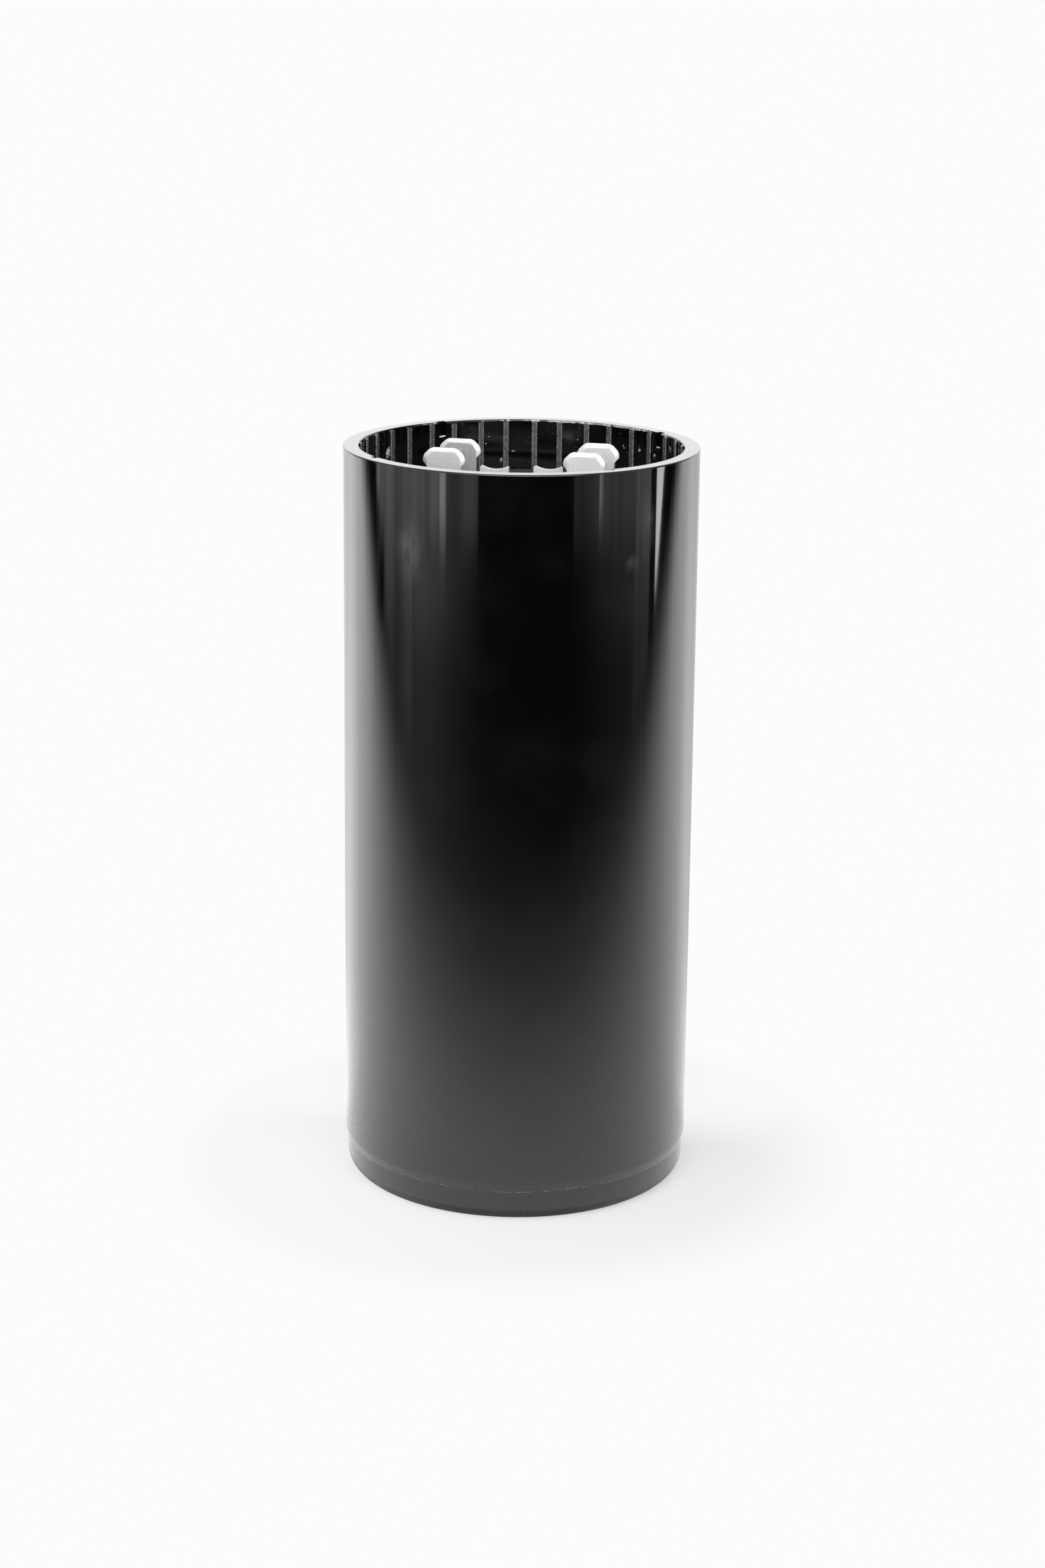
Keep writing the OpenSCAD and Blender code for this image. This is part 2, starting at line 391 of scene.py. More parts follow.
@dataclass(frozen=True)
class Smear:
    """A greasy smear on the outer wall: its angle from the front, its height and its half sizes."""

    degrees: float
    up: float
    half_width: float
    half_height: float

    def share(self, bench: NodeBench, radius: float) -> Socket:
        """Gives how much of the smear lies on a point of the wall.

        Args:
            bench: the node tree to add to.
            radius: the wall's radius.

        Returns:
            The share, from nothing to one.
        """
        turn = math.radians(self.degrees)
        middle = (radius * math.sin(turn), -radius * math.cos(turn), self.up)
        return bench.spot(middle, (self.half_width, self.half_width, self.half_height))


@dataclass(frozen=True)
class GrainedFinish(Finish):
    """A finish of two colours mixed by a grain; gloss and relief follow it unless they have their own."""

    first: Colour
    second: Colour
    grain: Grain
    gloss: float
    gloss_shift: Span
    depth: float
    gloss_grain: Grain | None = None
    relief_grain: Grain | None = None
    metallic: float = 0.0
    refraction: float = 1.5

    def paint(self, bench: NodeBench, shader: bpy.types.Node) -> None:
        """Paints the two colours, the uneven gloss and the relief.

        Args:
            bench: the node tree to add to.
            shader: the shader to feed.
        """
        grain = self.grain.read(bench)
        patches = self.gloss_grain.read(bench) if self.gloss_grain else grain
        bumps = self.relief_grain.read(bench) if self.relief_grain else grain
        share = bench.fit(grain, *self.grain.span, 0.0, 1.0)
        bench.feed(shader.inputs["Base Color"], bench.blend(share, self.first, self.second))
        rough = [self.gloss + shift for shift in self.gloss_shift]
        bench.feed(shader.inputs["Roughness"], bench.fit(patches, *SOFT_SPAN, *rough))
        bench.feed(shader.inputs["Normal"], bench.relief(bumps, self.depth))
        shader.inputs["Metallic"].default_value = self.metallic
        shader.inputs["IOR"].default_value = self.refraction


# Phenolic ribs, rubbed dull and grey where the header was pressed past them
RUBBED_PHENOLIC = GrainedFinish(
    name="rubbed_phenolic",
    first=grey(0.02),
    second=grey(0.13),
    grain=Grain((8500.0, 8500.0, 3200.0), 6.0, (0.35, 0.7)),
    gloss=0.5,
    gloss_shift=(0.1, -0.1),
    depth=0.03 * MM,
)
# Edges of the ribs and flash of the parting line, paler from wear and painted paler still as a painted
# highlight where these edges catch light
RIB_EDGE_WEAR_AND_HIGHLIGHT = replace(RUBBED_PHENOLIC, name="rib_edge_wear_and_highlight", first=grey(0.05), second=grey(0.3))
# Broken phenolic in the chips of the rim, painted pale as a painted highlight of the bright reflection along
# the rim's inner edge
CHIPS_WITH_HIGHLIGHT = replace(RUBBED_PHENOLIC, name="chips_with_highlight", first=grey(0.16), second=grey(0.75))
# The rim's top face, trimmed flat after moulding
TRIMMED_PHENOLIC = GrainedFinish(
    name="trimmed_phenolic",
    first=grey(0.01),
    second=grey(0.03),
    grain=Grain(even(2200.0), 4.0, (0.4, 0.75)),
    gloss=0.16,
    gloss_shift=(-0.015, 0.015),
    depth=0.0004 * MM,
    refraction=1.62,
)
# Dark resin board of the header, with the fibres of its paper showing through
PRESSED_BOARD = GrainedFinish(
    name="pressed_board",
    first=(0.04, 0.037, 0.034, 1.0),
    second=(0.08, 0.075, 0.069, 1.0),
    grain=Grain((2600.0, 700.0, 1200.0), 6.0, (0.45, 0.72)),
    gloss=0.7,
    gloss_shift=(-0.08, 0.12),
    depth=0.015 * MM,
    gloss_grain=Grain(even(160.0)),
)
# Black sealing rubber with a dry bloom
SEAL_RUBBER = GrainedFinish(
    name="seal_rubber",
    first=grey(0.012),
    second=grey(0.045),
    grain=Grain(even(220.0), 5.0, (0.42, 0.75)),
    gloss=0.62,
    gloss_shift=(-0.1, 0.15),
    depth=0.012 * MM,
    relief_grain=Grain(even(2600.0), 2.0),
)
# The same rubber as a disc under the header
GASKET_RUBBER = replace(SEAL_RUBBER, name="gasket_rubber")
# Plain aluminium of the washers and lead tabs, with tool marks
CONTACT_ALUMINIUM = GrainedFinish(
    name="contact_aluminium",
    first=(0.8, 0.81, 0.82, 1.0),
    second=(0.6, 0.61, 0.62, 1.0),
    grain=Grain((900.0, 900.0, 2500.0), 5.0, (0.4, 0.7)),
    gloss=0.36,
    gloss_shift=(-0.1, 0.12),
    depth=0.008 * MM,
    metallic=1.0,
)
# The rivets' aluminium, dulled in the open recess
RIVET_ALUMINIUM = replace(
    CONTACT_ALUMINIUM, name="rivet_aluminium", first=grey(0.42), second=grey(0.25), gloss=0.5
)
# Amber film tape that closes the winding, slightly creased
FILM_TAPE = GrainedFinish(
    name="film_tape",
    first=(0.62, 0.45, 0.12, 1.0),
    second=(0.74, 0.6, 0.28, 1.0),
    grain=Grain((90.0, 90.0, 420.0), 5.0, (0.5, 0.72)),
    gloss=0.28,
    gloss_shift=(-0.08, 0.15),
    depth=0.02 * MM,
)
# Black compound poured around the foot of the winding, with a slow swell and dull dust
POURED_COMPOUND = GrainedFinish(
    name="poured_compound",
    first=grey(0.008),
    second=grey(0.04),
    grain=Grain(even(900.0), 5.0, (0.5, 0.75)),
    gloss=0.3,
    gloss_shift=(-0.1, 0.25),
    depth=0.15 * MM,
    relief_grain=Grain(even(120.0), 2.0),
)
# Pale dried residue of the marks on the rim's inner wall
DRIED_RESIDUE = GrainedFinish(
    name="dried_residue",
    first=grey(0.75),
    second=grey(0.35),
    grain=Grain(even(4000.0), 4.0, (0.4, 0.65)),
    gloss=0.6,
    gloss_shift=(-0.1, 0.2),
    depth=0.02 * MM,
)


@dataclass(frozen=True)
class MouldedPhenolic(Finish):
    """Black phenolic as it leaves a polished mould: glossy near the rim, hazed and smeared by handling."""

    name: str = "moulded_phenolic"
    black: float = 0.0012
    worn_black: float = 0.003
    blotches: Grain = Grain(even(90.0), 4.0, (0.45, 0.7))
    refraction: float = 1.62
    gloss_top: float = 0.07
    gloss_foot: float = 0.27
    haze_low: float = 20 * MM
    haze_high: float = 105 * MM
    smudge: float = 0.04
    smudges: Grain = Grain((60.0, 60.0, 22.0), 4.0, (0.4, 0.75))
    bloom: float = 0.38
    bloom_low: float = 8 * MM
    bloom_high: float = 42 * MM
    bloom_spread: float = 0.4
    bloom_grain: Grain = Grain(even(3200.0), 3.0)
    bloom_uneven: Span = (0.6, 1.4)
    # Heights between which the sheen comes back above the foot; below them it is taken off as a painted
    # contact shadow
    contact_shade_low: float = 0.2 * MM
    contact_shade_high: float = 1.4 * MM
    dust: float = 0.016
    dust_high: float = 46 * MM
    flecks: Grain = Grain(even(6500.0), 3.0, (0.4, 0.7))
    film: float = 0.06
    wall: float = 26.2 * MM
    wisps: Grain = Grain((420.0, 420.0, 170.0), 6.0, (0.35, 0.7))
    wisp_least: float = 0.1
    smears: tuple[Smear, ...] = (
        Smear(-22.5, 100.5 * MM, 3.4 * MM, 6.5 * MM),
        Smear(51.5, 98.6 * MM, 1.7 * MM, 1.6 * MM),
        Smear(57.5, 104.0 * MM, 2.2 * MM, 6.0 * MM),
    )
    draw_lines: Grain = Grain((700.0, 700.0, 7.0), 2.0)
    draw_depth: float = 0.0022 * MM
    peel: Grain = Grain(even(420.0), 2.0)
    peel_depth: float = 0.0012 * MM

    def paint(self, bench: NodeBench, shader: bpy.types.Node) -> None:
        """Paints blotched black with dust and smears, a haze that thins out upwards and a slight orange peel.

        Args:
            bench: the node tree to add to.
            shader: the shader to feed.
        """
        up = bench.axes(bench.place()).outputs["Z"]
        black = bench.blend(self.blotches.share(bench), grey(self.black), grey(self.worn_black))
        settled = bench.fit(up, self.bloom_low, self.dust_high, 1.0, 0.0)
        dusty = bench.times(settled, self.flecks.share(bench))
        dusted = bench.blend(dusty, black, grey(self.dust))
        smeared = 0.0
        for smear in self.smears:
            smeared = bench.sum_up("MAXIMUM", smear.share(bench, self.wall), smeared)
        wiped = bench.times(smeared, self.wisps.share(bench, self.wisp_least))
        bench.feed(shader.inputs["Base Color"], bench.blend(wiped, dusted, grey(self.film)))
        shader.inputs["IOR"].default_value = self.refraction
        haze = bench.fit(up, self.haze_low, self.haze_high, self.gloss_foot, self.gloss_top)
        smudged = self.smudges.share(bench, 0.0, self.smudge)
        bench.feed(shader.inputs["Roughness"], bench.sum_up("ADD", haze, smudged))
        bloom = bench.fit(up, self.bloom_low, self.bloom_high, self.bloom, 0.0)
        # Painted shade: no sheen at the very foot, as a dark contact line
        foot = bench.fit(up, self.contact_shade_low, self.contact_shade_high, 0.0, 1.0)
        grain = self.bloom_grain.share(bench, *self.bloom_uneven)
        bench.feed(shader.inputs["Sheen Weight"], bench.times(bloom, grain, foot))
        shader.inputs["Sheen Roughness"].default_value = self.bloom_spread
        drawn = bench.relief(self.draw_lines.read(bench), self.draw_depth)
        bench.feed(shader.inputs["Normal"], bench.relief(self.peel.read(bench), self.peel_depth, drawn))


@dataclass(frozen=True)
class TinnedSheet(Finish):
    """Stamped sheet under a matte tin coat, with painted shade on its flat front faces, its back faces and
    its rear blades, so that the coined edges stay bright.
    """

    name: str = "tinned_sheet"
    bright: Colour = (0.94, 0.94, 0.93, 1.0)
    # Colour of the painted shade on the flat front faces, mottled
    face_shade_tin: Colour = (0.74, 0.74, 0.73, 1.0)
    # Colour of the painted shade on the back faces and the rear blades
    painted_shade: Colour = (0.4, 0.4, 0.39, 1.0)
    pitted: Colour = (0.2, 0.2, 0.19, 1.0)
    side_span: Span = (-4 * MM, 4 * MM)
    right_share: float = 0.4
    face_shade_most: float = 0.75
    face_least: float = 0.1
    face_span: Span = (0.95, 0.99)
    rear_shade_most: float = 0.8
    rear_span: Span = (1.5 * MM, 2.8 * MM)
    mottle: Grain = Grain(even(5200.0), 6.0, (0.34, 0.66))
    mottle_range: Span = (0.5, 1.2)
    pits: Grain = Grain(even(3400.0), 2.0, (0.64, 0.7))
    pit_share: float = 0.55
    edge_shade_least: float = 0.2
    face_shade_full: float = 0.8
    gloss: float = 0.6
    gloss_shift: Span = (-0.06, 0.08)
    dents: Grain = Grain(even(1100.0), 3.0)
    dent_depth: float = 0.014 * MM
    grain: Grain = Grain(even(4200.0), 5.0)
    grain_depth: float = 0.006 * MM
    scratches: Grain = Grain((500.0, 500.0, 6000.0), 3.0)
    scratch_depth: float = 0.002 * MM

    def paint(self, bench: NodeBench, shader: bpy.types.Node) -> None:
        """Paints tin with a fine grain, slight dents and scratches, and painted shade on the flat front
        faces, the back faces and the rear blades.

        Args:
            bench: the node tree to add to.
            shader: the shader to feed.
        """
        shader.inputs["Metallic"].default_value = 1.0
        point = bench.axes(bench.place())
        facing = bench.axes(bench.add("ShaderNodeNewGeometry").outputs["True Normal"])
        left = bench.fit(point.outputs["X"], *self.side_span, 1.0, self.right_share)
        low, high = self.face_span
        # Painted shade: flat faces towards the front are darker than the bevels and sides, the left blade's
        # most, with the tin's mottle in it
        flat = bench.fit(facing.outputs["Y"], -high, -low, self.face_shade_most, 0.0)
        front_face = bench.times(flat, bench.sum_up("ADD", left, self.face_least))
        # Painted shade: faces towards the back are painted dark
        back_face_shade = bench.fit(facing.outputs["Y"], low, high, 0.0, 1.0)
        rearward = bench.fit(point.outputs["Y"], *self.rear_span, 0.0, self.rear_shade_most)
        face_shade_and_mottle = bench.times(front_face, self.mottle.share(bench, *self.mottle_range))
        pits = self.pits.share(bench, 0.0, self.pit_share)
        tin = bench.blend(face_shade_and_mottle, self.bright, self.face_shade_tin)
        worn = bench.blend(bench.times(pits, face_shade_and_mottle), tin, self.pitted)
        # Painted shade on the rear blades, the left one most, weaker on their edges
        rear_shade = bench.times(rearward, left, bench.fit(face_shade_and_mottle, 0.0, self.face_shade_full, self.edge_shade_least, 1.0))
        painted_shade = bench.sum_up("MAXIMUM", rear_shade, back_face_shade)
        bench.feed(shader.inputs["Base Color"], bench.blend(painted_shade, worn, self.painted_shade))
        grain = self.grain.read(bench)
        rough = [self.gloss + shift for shift in self.gloss_shift]
        bench.feed(shader.inputs["Roughness"], bench.fit(grain, *SOFT_SPAN, *rough))
        dented = bench.relief(self.dents.read(bench), self.dent_depth)
        grained = bench.relief(grain, self.grain_depth, dented)
        scratched = bench.relief(self.scratches.read(bench), self.scratch_depth, grained)
        bench.feed(shader.inputs["Normal"], scratched)


@dataclass(frozen=True)
class WoundPaper(Finish):
    """Paper and foil wound in a spiral: layered on the ends, plain kraft on the side."""

    name: str = "wound_paper"
    paper: Colour = (0.55, 0.43, 0.27, 1.0)
    soaked: Colour = (0.33, 0.24, 0.14, 1.0)
    ring_scale: float = 1.0 / (20.0 * 0.35 * MM)
    ring_waver: float = 0.6
    fibres: Grain = Grain(even(700.0), 6.0)
    fibre_least: float = 0.4
    gloss: float = 0.55
    gloss_shift: Span = (-0.1, 0.15)
    layer_depth: float = 0.05 * MM

    def paint(self, bench: NodeBench, shader: bpy.types.Node) -> None:
        """Paints kraft paper with fine layers around the axis.

        Args:
            bench: the node tree to add to.
            shader: the shader to feed.
        """
        rings = bench.add("ShaderNodeTexWave", wave_type="RINGS", rings_direction="Z")
        bench.feed(rings.inputs["Vector"], bench.place())
        rings.inputs["Scale"].default_value = self.ring_scale
        rings.inputs["Distortion"].default_value = self.ring_waver
        fibres = self.fibres.read(bench)
        share = bench.times(rings.outputs["Fac"], bench.fit(fibres, *SOFT_SPAN, self.fibre_least, 1.0))
        bench.feed(shader.inputs["Base Color"], bench.blend(share, self.paper, self.soaked))
        rough = [self.gloss + shift for shift in self.gloss_shift]
        bench.feed(shader.inputs["Roughness"], bench.fit(fibres, *SOFT_SPAN, *rough))
        bench.feed(shader.inputs["Normal"], bench.relief(share, self.layer_depth))


def link_piece(mesh: bpy.types.Mesh, name: str, materials: list[bpy.types.Material]) -> bpy.types.Object:
    """Puts a mesh into the scene as an object.

    Args:
        mesh: the mesh.
        name: the object's name.
        materials: its materials in slot order.

    Returns:
        The new object.
    """
    piece = bpy.data.objects.new(name, mesh)
    bpy.context.scene.collection.objects.link(piece)
    for material in materials:
        mesh.materials.append(material)
    return piece


def even_shading(piece: bpy.types.Object) -> None:
    """Keeps the flat faces of a piece flat where they meet rounded edges."""
    weighted = piece.modifiers.new("even_shading", "WEIGHTED_NORMAL")
    weighted.keep_sharp = True


def round_edges(shape: Shape, edges: list[bmesh.types.BMEdge], width: float, steps: int) -> None:
    """Rounds edges of a shape.

    Args:
        shape: the shape.
        edges: the edges to round.
        width: how far the rounding reaches from an edge.
        steps: number of faces across it.
    """
    bmesh.ops.bevel(
        shape,
        geom=edges,
        offset=width,
        offset_type="OFFSET",
        segments=steps,
        profile=0.5,
        affect="EDGES",
        clamp_overlap=True,
        loop_slide=False,
    )


def both_flanks(steps: list[Span]) -> list[Span]:
    """Repeats the steps up to a middle, mirrored, on its other side."""
    return steps + [(-offset, share) for offset, share in reversed(steps[:-1])]


@dataclass(frozen=True)
class Ripple:
    """A smooth unevenness around the axis that closes on itself: its depth, its two paces and its level."""

    depth: float
    around: float
    along: float = 0.0
    level: float = 0.0

    def at(self, angle: float, height: float = 0.0) -> float:
        """Gives the unevenness at a point.

        Args:
            angle: angle about the axis.
            height: height up the axis.

        Returns:
            A value from about minus the depth to the depth.
        """
        turn = Vector((self.around * math.cos(angle), self.around * math.sin(angle), 0.0))
        turn.z = self.along * height + self.level
        return self.depth * noise.noise(turn)


@dataclass(frozen=True)
class Column:
    """One upright section through the case: its angle and what stands there on the inner wall."""

    angle: float
    rib: float = 0.0
    key: float = 0.0
    edge: bool = False


Outline = list[tuple[float, float, Zone]]


@dataclass
class CaseShell:
    """The moulded cup with its rounded base, parting line, ribbed rim and keyways."""

    radius: float
    height: float
    rim_wall: float = 2.3 * MM
    body_wall: float = 3.8 * MM
    floor: float = 3.2 * MM
    base_round: float = 2.5 * MM
    base_ring: float = 0.6
    cavity_round: float = 2.5 * MM
    seat_below_rim: float = 11.6 * MM
    seam_z: float = 4.9 * MM
    seam_step: float = 0.35 * MM
    seam_lip: float = 0.1 * MM
    seam_rise: float = 1.2 * MM
    seam_clear: float = 2 * MM
    seam_wander: Ripple = Ripple(0.1 * MM, 2.0)
    seam_jitter: Ripple = Ripple(0.05 * MM, 14.0)
    lip_wear: Ripple = Ripple(0.6, 22.0, level=5.0)
    # Where dashes along the lip are painted pale as a painted highlight
    lip_glints: Ripple = Ripple(1.0, 70.0, level=9.0)
    # Steps outwards and upwards, first from the lower wall below the lip and then on the lip's face
    under_lip: tuple[Span, ...] = ((0.0, -0.35 * MM), (0.0, -0.12 * MM), (0.01 * MM, -0.05 * MM))
    lip_face: tuple[Span, ...] = ((0.0, -0.03 * MM), (0.02 * MM, 0.04 * MM))
    lead_start: float = 0.2 * MM
    lead_end: float = 0.25 * MM
    above_seam: Span = (0.1 * MM, 0.5 * MM)
    rim_edge_out: float = 0.2 * MM
    rim_edge_in: float = 0.2 * MM
    rim_uneven: Ripple = Ripple(0.22, 30.0)
    top_shares: tuple[float, ...] = (0.06, 0.5, 0.94)
    bevel_turns: tuple[float, ...] = (0.0, 22.0, 62.0, 80.0)
    rib_pairs: int = 18
    rib_pair_angle: float = math.radians(9.4)
    rib_turn: float = math.radians(15)
    rib_width: float = 0.75 * MM
    rib_height: float = 0.3 * MM
    rib_lead: float = 0.2 * MM
    # Steps outside a rib's edge, each with its share of the rib's height
    rib_flank: tuple[Span, ...] = ((0.09 * MM, 0.0), (0.05 * MM, 0.45), (0.0, 1.0), (-0.1 * MM, 1.0))
    rib_hollow: float = 0.94
    rib_face: float = 0.9
    rib_ragged: Ripple = Ripple(0.3, 500.0, 2600.0)
    rib_dents: Ripple = Ripple(0.1, 300.0, 900.0)
    edge_near: float = 0.01 * MM
    key_count: int = 4
    key_turn: float = math.radians(45)
    key_width: float = 1.3 * MM
    key_cut: float = 0.8 * MM
    key_depth: float = 2.3 * MM
    key_flank: float = 0.03 * MM
    key_bevel: float = 0.08 * MM
    ledge_step: float = 0.004 * MM
    # Where the rim's inner edge is chipped; the chips are painted pale as a painted highlight of the
    # reflection there
    chips: Ripple = Ripple(1.0, 40.0, level=1.0)
    chip_side: float = math.radians(72)
    chip_lean: float = 0.8
    chip_focus: int = 4
    chip_least: float = 0.42
    chip_taper: float = 0.35
    chip_turn: float = 32.0
    chip_drop: float = 0.14 * MM
    chip_room: float = 1.4
    lip_glint_least: float = 0.22
    plain_step: float = math.radians(1.25)
    plain_gap: float = 0.3
    wall_rows: int = 14
    recess_rows: int = 56
    arc_rows: int = 10
    edge_rows: int = 4
    shade_break: float = math.radians(32)

    @property
    def rim_radius(self) -> float:
        """Radius of the inner wall between the ribs."""
        return self.radius - self.rim_wall

    def columns(self) -> list[Column]:
        """Lists the upright sections around the case, close together at each rib and keyway.

        Returns:
            The columns in order of their angle.
        """
        found = self.rib_columns() + self.key_columns()
        taken = sorted(column.angle for column in found)
        count = round(math.tau / self.plain_step)
        for index in range(count):
            angle = index * math.tau / count
            gap = min(abs((angle - other + math.pi) % math.tau - math.pi) for other in taken)
            if gap > self.plain_gap * self.plain_step:
                found.append(Column(angle))
        return sorted(found, key=lambda column: column.angle)

    def rib_columns(self) -> list[Column]:
        """Lists the columns across every rib, from the wall up one flank, over the face and down.

        Returns:
            The columns of all ribs.
        """
        half = self.rib_width / 2
        steps = [(-half - out, share) for out, share in self.rib_flank]
        across = both_flanks(steps + [(0.0, self.rib_hollow)])
        found = []
        for pair in range(self.rib_pairs):
            for flank in (-1, 1):
                middle = self.rib_turn + pair * math.tau / self.rib_pairs + flank * self.rib_pair_angle / 2
                for offset, share in across:
                    angle = (middle + offset / self.rim_radius) % math.tau
                    edge = abs(abs(offset) - half) < self.edge_near
                    found.append(Column(angle, rib=share, edge=edge))
        return found

    def key_columns(self) -> list[Column]:
        """Lists the columns across every keyway.

        Returns:
            The columns of all keyways.
        """
        half = self.key_width / 2
        across = both_flanks([(-half - self.key_flank, 0.0), (-half, 1.0), (-half / 2, 1.0), (0.0, 1.0)])
        found = []
        for key in range(self.key_count):
            middle = self.key_turn + key * math.tau / self.key_count
            for offset, share in across:
                found.append(Column((middle + offset / self.rim_radius) % math.tau, key=share))
        return found

    def outline(self, column: Column) -> Outline:
        """Follows the section from the middle of the base, over the rim, to the middle of the cavity floor.

        Args:
            column: the section to follow.

        Returns:
            Radius, height and zone at each point, the same number of points for every column.
        """
        outside = self.base_stretch() + self.seam_stretch(column) + self.wall_stretch()
        inside = self.recess_stretch(column) + self.cavity_stretch()
        return outside + self.rim_stretch(column) + inside

    def base_stretch(self) -> Outline:
        """Gives the flat base and its rounded edge.

        Returns:
            The points from the axis outwards.
        """
        flat = self.radius - self.seam_step - self.base_round
        points = [(0.0, 0.0, Zone.MOULDED), (self.base_ring * flat, 0.0, Zone.MOULDED)]
        for step in range(self.arc_rows + 1):
            turn = step / self.arc_rows * math.pi / 2
            out = flat + self.base_round * math.sin(turn)
            points.append((out, self.base_round * (1 - math.cos(turn)), Zone.MOULDED))
        return points

    def seam_stretch(self, column: Column) -> Outline:
        """Gives the parting line: a ragged lip where the upper mould half stands out over the lower.

        Args:
            column: the section to follow.

        Returns:
            The points from below the lip to the plain wall.
        """
        angle = column.angle
        low = self.radius - self.seam_step
        lip = self.seam_z + (self.seam_wander.at(angle) + self.seam_jitter.at(angle))
        ledge = low + self.seam_lip * (1.0 - max(0.0, self.lip_wear.at(angle)))
        slope = (self.radius - low - self.seam_lip) / self.seam_rise
        # Painted highlight: pale dashes along the lip where it catches light
        lip_glints = Zone.RIB_EDGE if self.lip_glints.at(angle) > self.lip_glint_least else Zone.MOULDED
        top = lip + self.seam_rise
        points = [(low + out, lip + up, Zone.MOULDED) for out, up in self.under_lip]
        points += [(ledge + out, lip + up, lip_glints) for out, up in self.lip_face]
        points.append((low + self.seam_lip + slope * self.lead_start, lip + self.lead_start, Zone.MOULDED))
        points.append((self.radius - slope * self.lead_end, top - self.lead_end, Zone.MOULDED))
        return points + [(self.radius, top + up, Zone.MOULDED) for up in self.above_seam]

    def wall_stretch(self) -> Outline:
        """Gives the plain outer wall up to the edge of the rim.

        Returns:
            The points from the parting line upwards.
        """
        low = self.seam_z + self.seam_rise + self.seam_clear
        high = self.height - self.rim_edge_out
        rows = [low + (high - low) * step / self.wall_rows for step in range(self.wall_rows)]
        return [(self.radius, up, Zone.MOULDED) for up in rows]

    def rim_stretch(self, column: Column) -> Outline:
        """Gives the rim: the rounded outer edge, the flat top and the bevel down to the inner wall.

        Args:
            column: the section to follow.

        Returns:
            The points over the rim.
        """
        edge = self.rim_edge_out
        points = []
        for step in range(self.edge_rows + 1):
            turn = step / self.edge_rows * math.pi / 2
            out = self.radius - edge * (1 - math.cos(turn))
            points.append((out, self.height - edge * (1 - math.sin(turn)), Zone.TRIMMED))
        uneven = 1.0 + self.rim_uneven.at(column.angle)
        bevel = self.rim_edge_in * uneven * (1 - column.key) + self.key_bevel * column.key
        inner = self.rim_radius + self.key_cut * column.key
        outer = self.radius - edge
        for share in self.top_shares:
            points.append((outer + (inner + bevel - outer) * share, self.height, Zone.TRIMMED))
        # Chips gather towards one side; their pale finish is a painted highlight as well as broken phenolic
        towards = max(0.0, math.cos(column.angle - self.chip_side))
        chips = self.chips.at(column.angle) + self.chip_lean * towards**self.chip_focus
        share = min(1.0, max(0.0, (chips - self.chip_least) / self.chip_taper)) * (1 - column.key)
        worn = Zone.CHIP_AND_GLINT if share > 0.0 else Zone.MOULDED
        first, second, third, last = self.bevel_turns
        steps = (
            (first, 0.0, Zone.TRIMMED),
            (second, 0.0, Zone.TRIMMED),
            (third - self.chip_turn * share, 0.0, worn),
            (last, self.chip_drop * share, worn),
        )
        for turn, drop, zone in steps:
            out = inner + bevel * (1 - math.sin(math.radians(turn)))
            points.append((out, self.height - bevel * (1 - math.cos(math.radians(turn))) - drop, zone))
        return points

    def recess_stretch(self, column: Column) -> Outline:
        """Gives the inner wall of the rim with the column's share of a rib or a keyway.

        Args:
            column: the section to follow.

        Returns:
            The points from the bevel down to the header seat.
        """
        ledge = self.height - self.key_depth
        top = self.height - self.rim_edge_in - self.chip_room * self.chip_drop
        seat = self.height - self.seat_below_rim
        rows = [top + (seat - top) * (step / self.recess_rows) for step in range(self.recess_rows + 1)]
        rows += [ledge + self.ledge_step, ledge - self.ledge_step]
        points = []
        for up in sorted(rows, reverse=True):
            lead = min(1.0, max(0.0, (self.height - self.rim_edge_in - up) / self.rib_lead))
            on_face = column.rib > self.rib_face
            ragged = self.rib_ragged.at(column.angle, up) if column.edge else 0.0
            dent = self.rib_dents.at(column.angle, up) if on_face else 0.0
            proud = min(self.rib_height * lead * column.rib * (1 + ragged + dent), self.rib_height)
            sunk = self.key_cut * column.key if up > ledge else 0.0
            zone = Zone.RUBBED if on_face and lead > 0.0 else Zone.MOULDED
            # Painted highlight: the rib's edges take the paler finish, on top of their wear
            if column.edge and lead > 0.0:
                zone = Zone.RIB_EDGE
            points.append((self.rim_radius - proud + sunk, up, zone))
        return points

    def cavity_stretch(self) -> Outline:
        """Gives the header seat, the cavity wall and its rounded floor.

        Returns:
            The points from the seat down to the axis.
        """
        seat = self.height - self.seat_below_rim
        cavity = self.radius - self.body_wall
        corner = self.cavity_round
        points = [(cavity, seat, Zone.MOULDED), (cavity, (seat + self.floor) / 2, Zone.MOULDED)]
        for step in range(self.arc_rows + 1):
            turn = step / self.arc_rows * math.pi / 2
            out = cavity - corner * (1 - math.cos(turn))
            points.append((out, self.floor + corner * (1 - math.sin(turn)), Zone.MOULDED))
        points.append((0.0, self.floor, Zone.MOULDED))
        return points

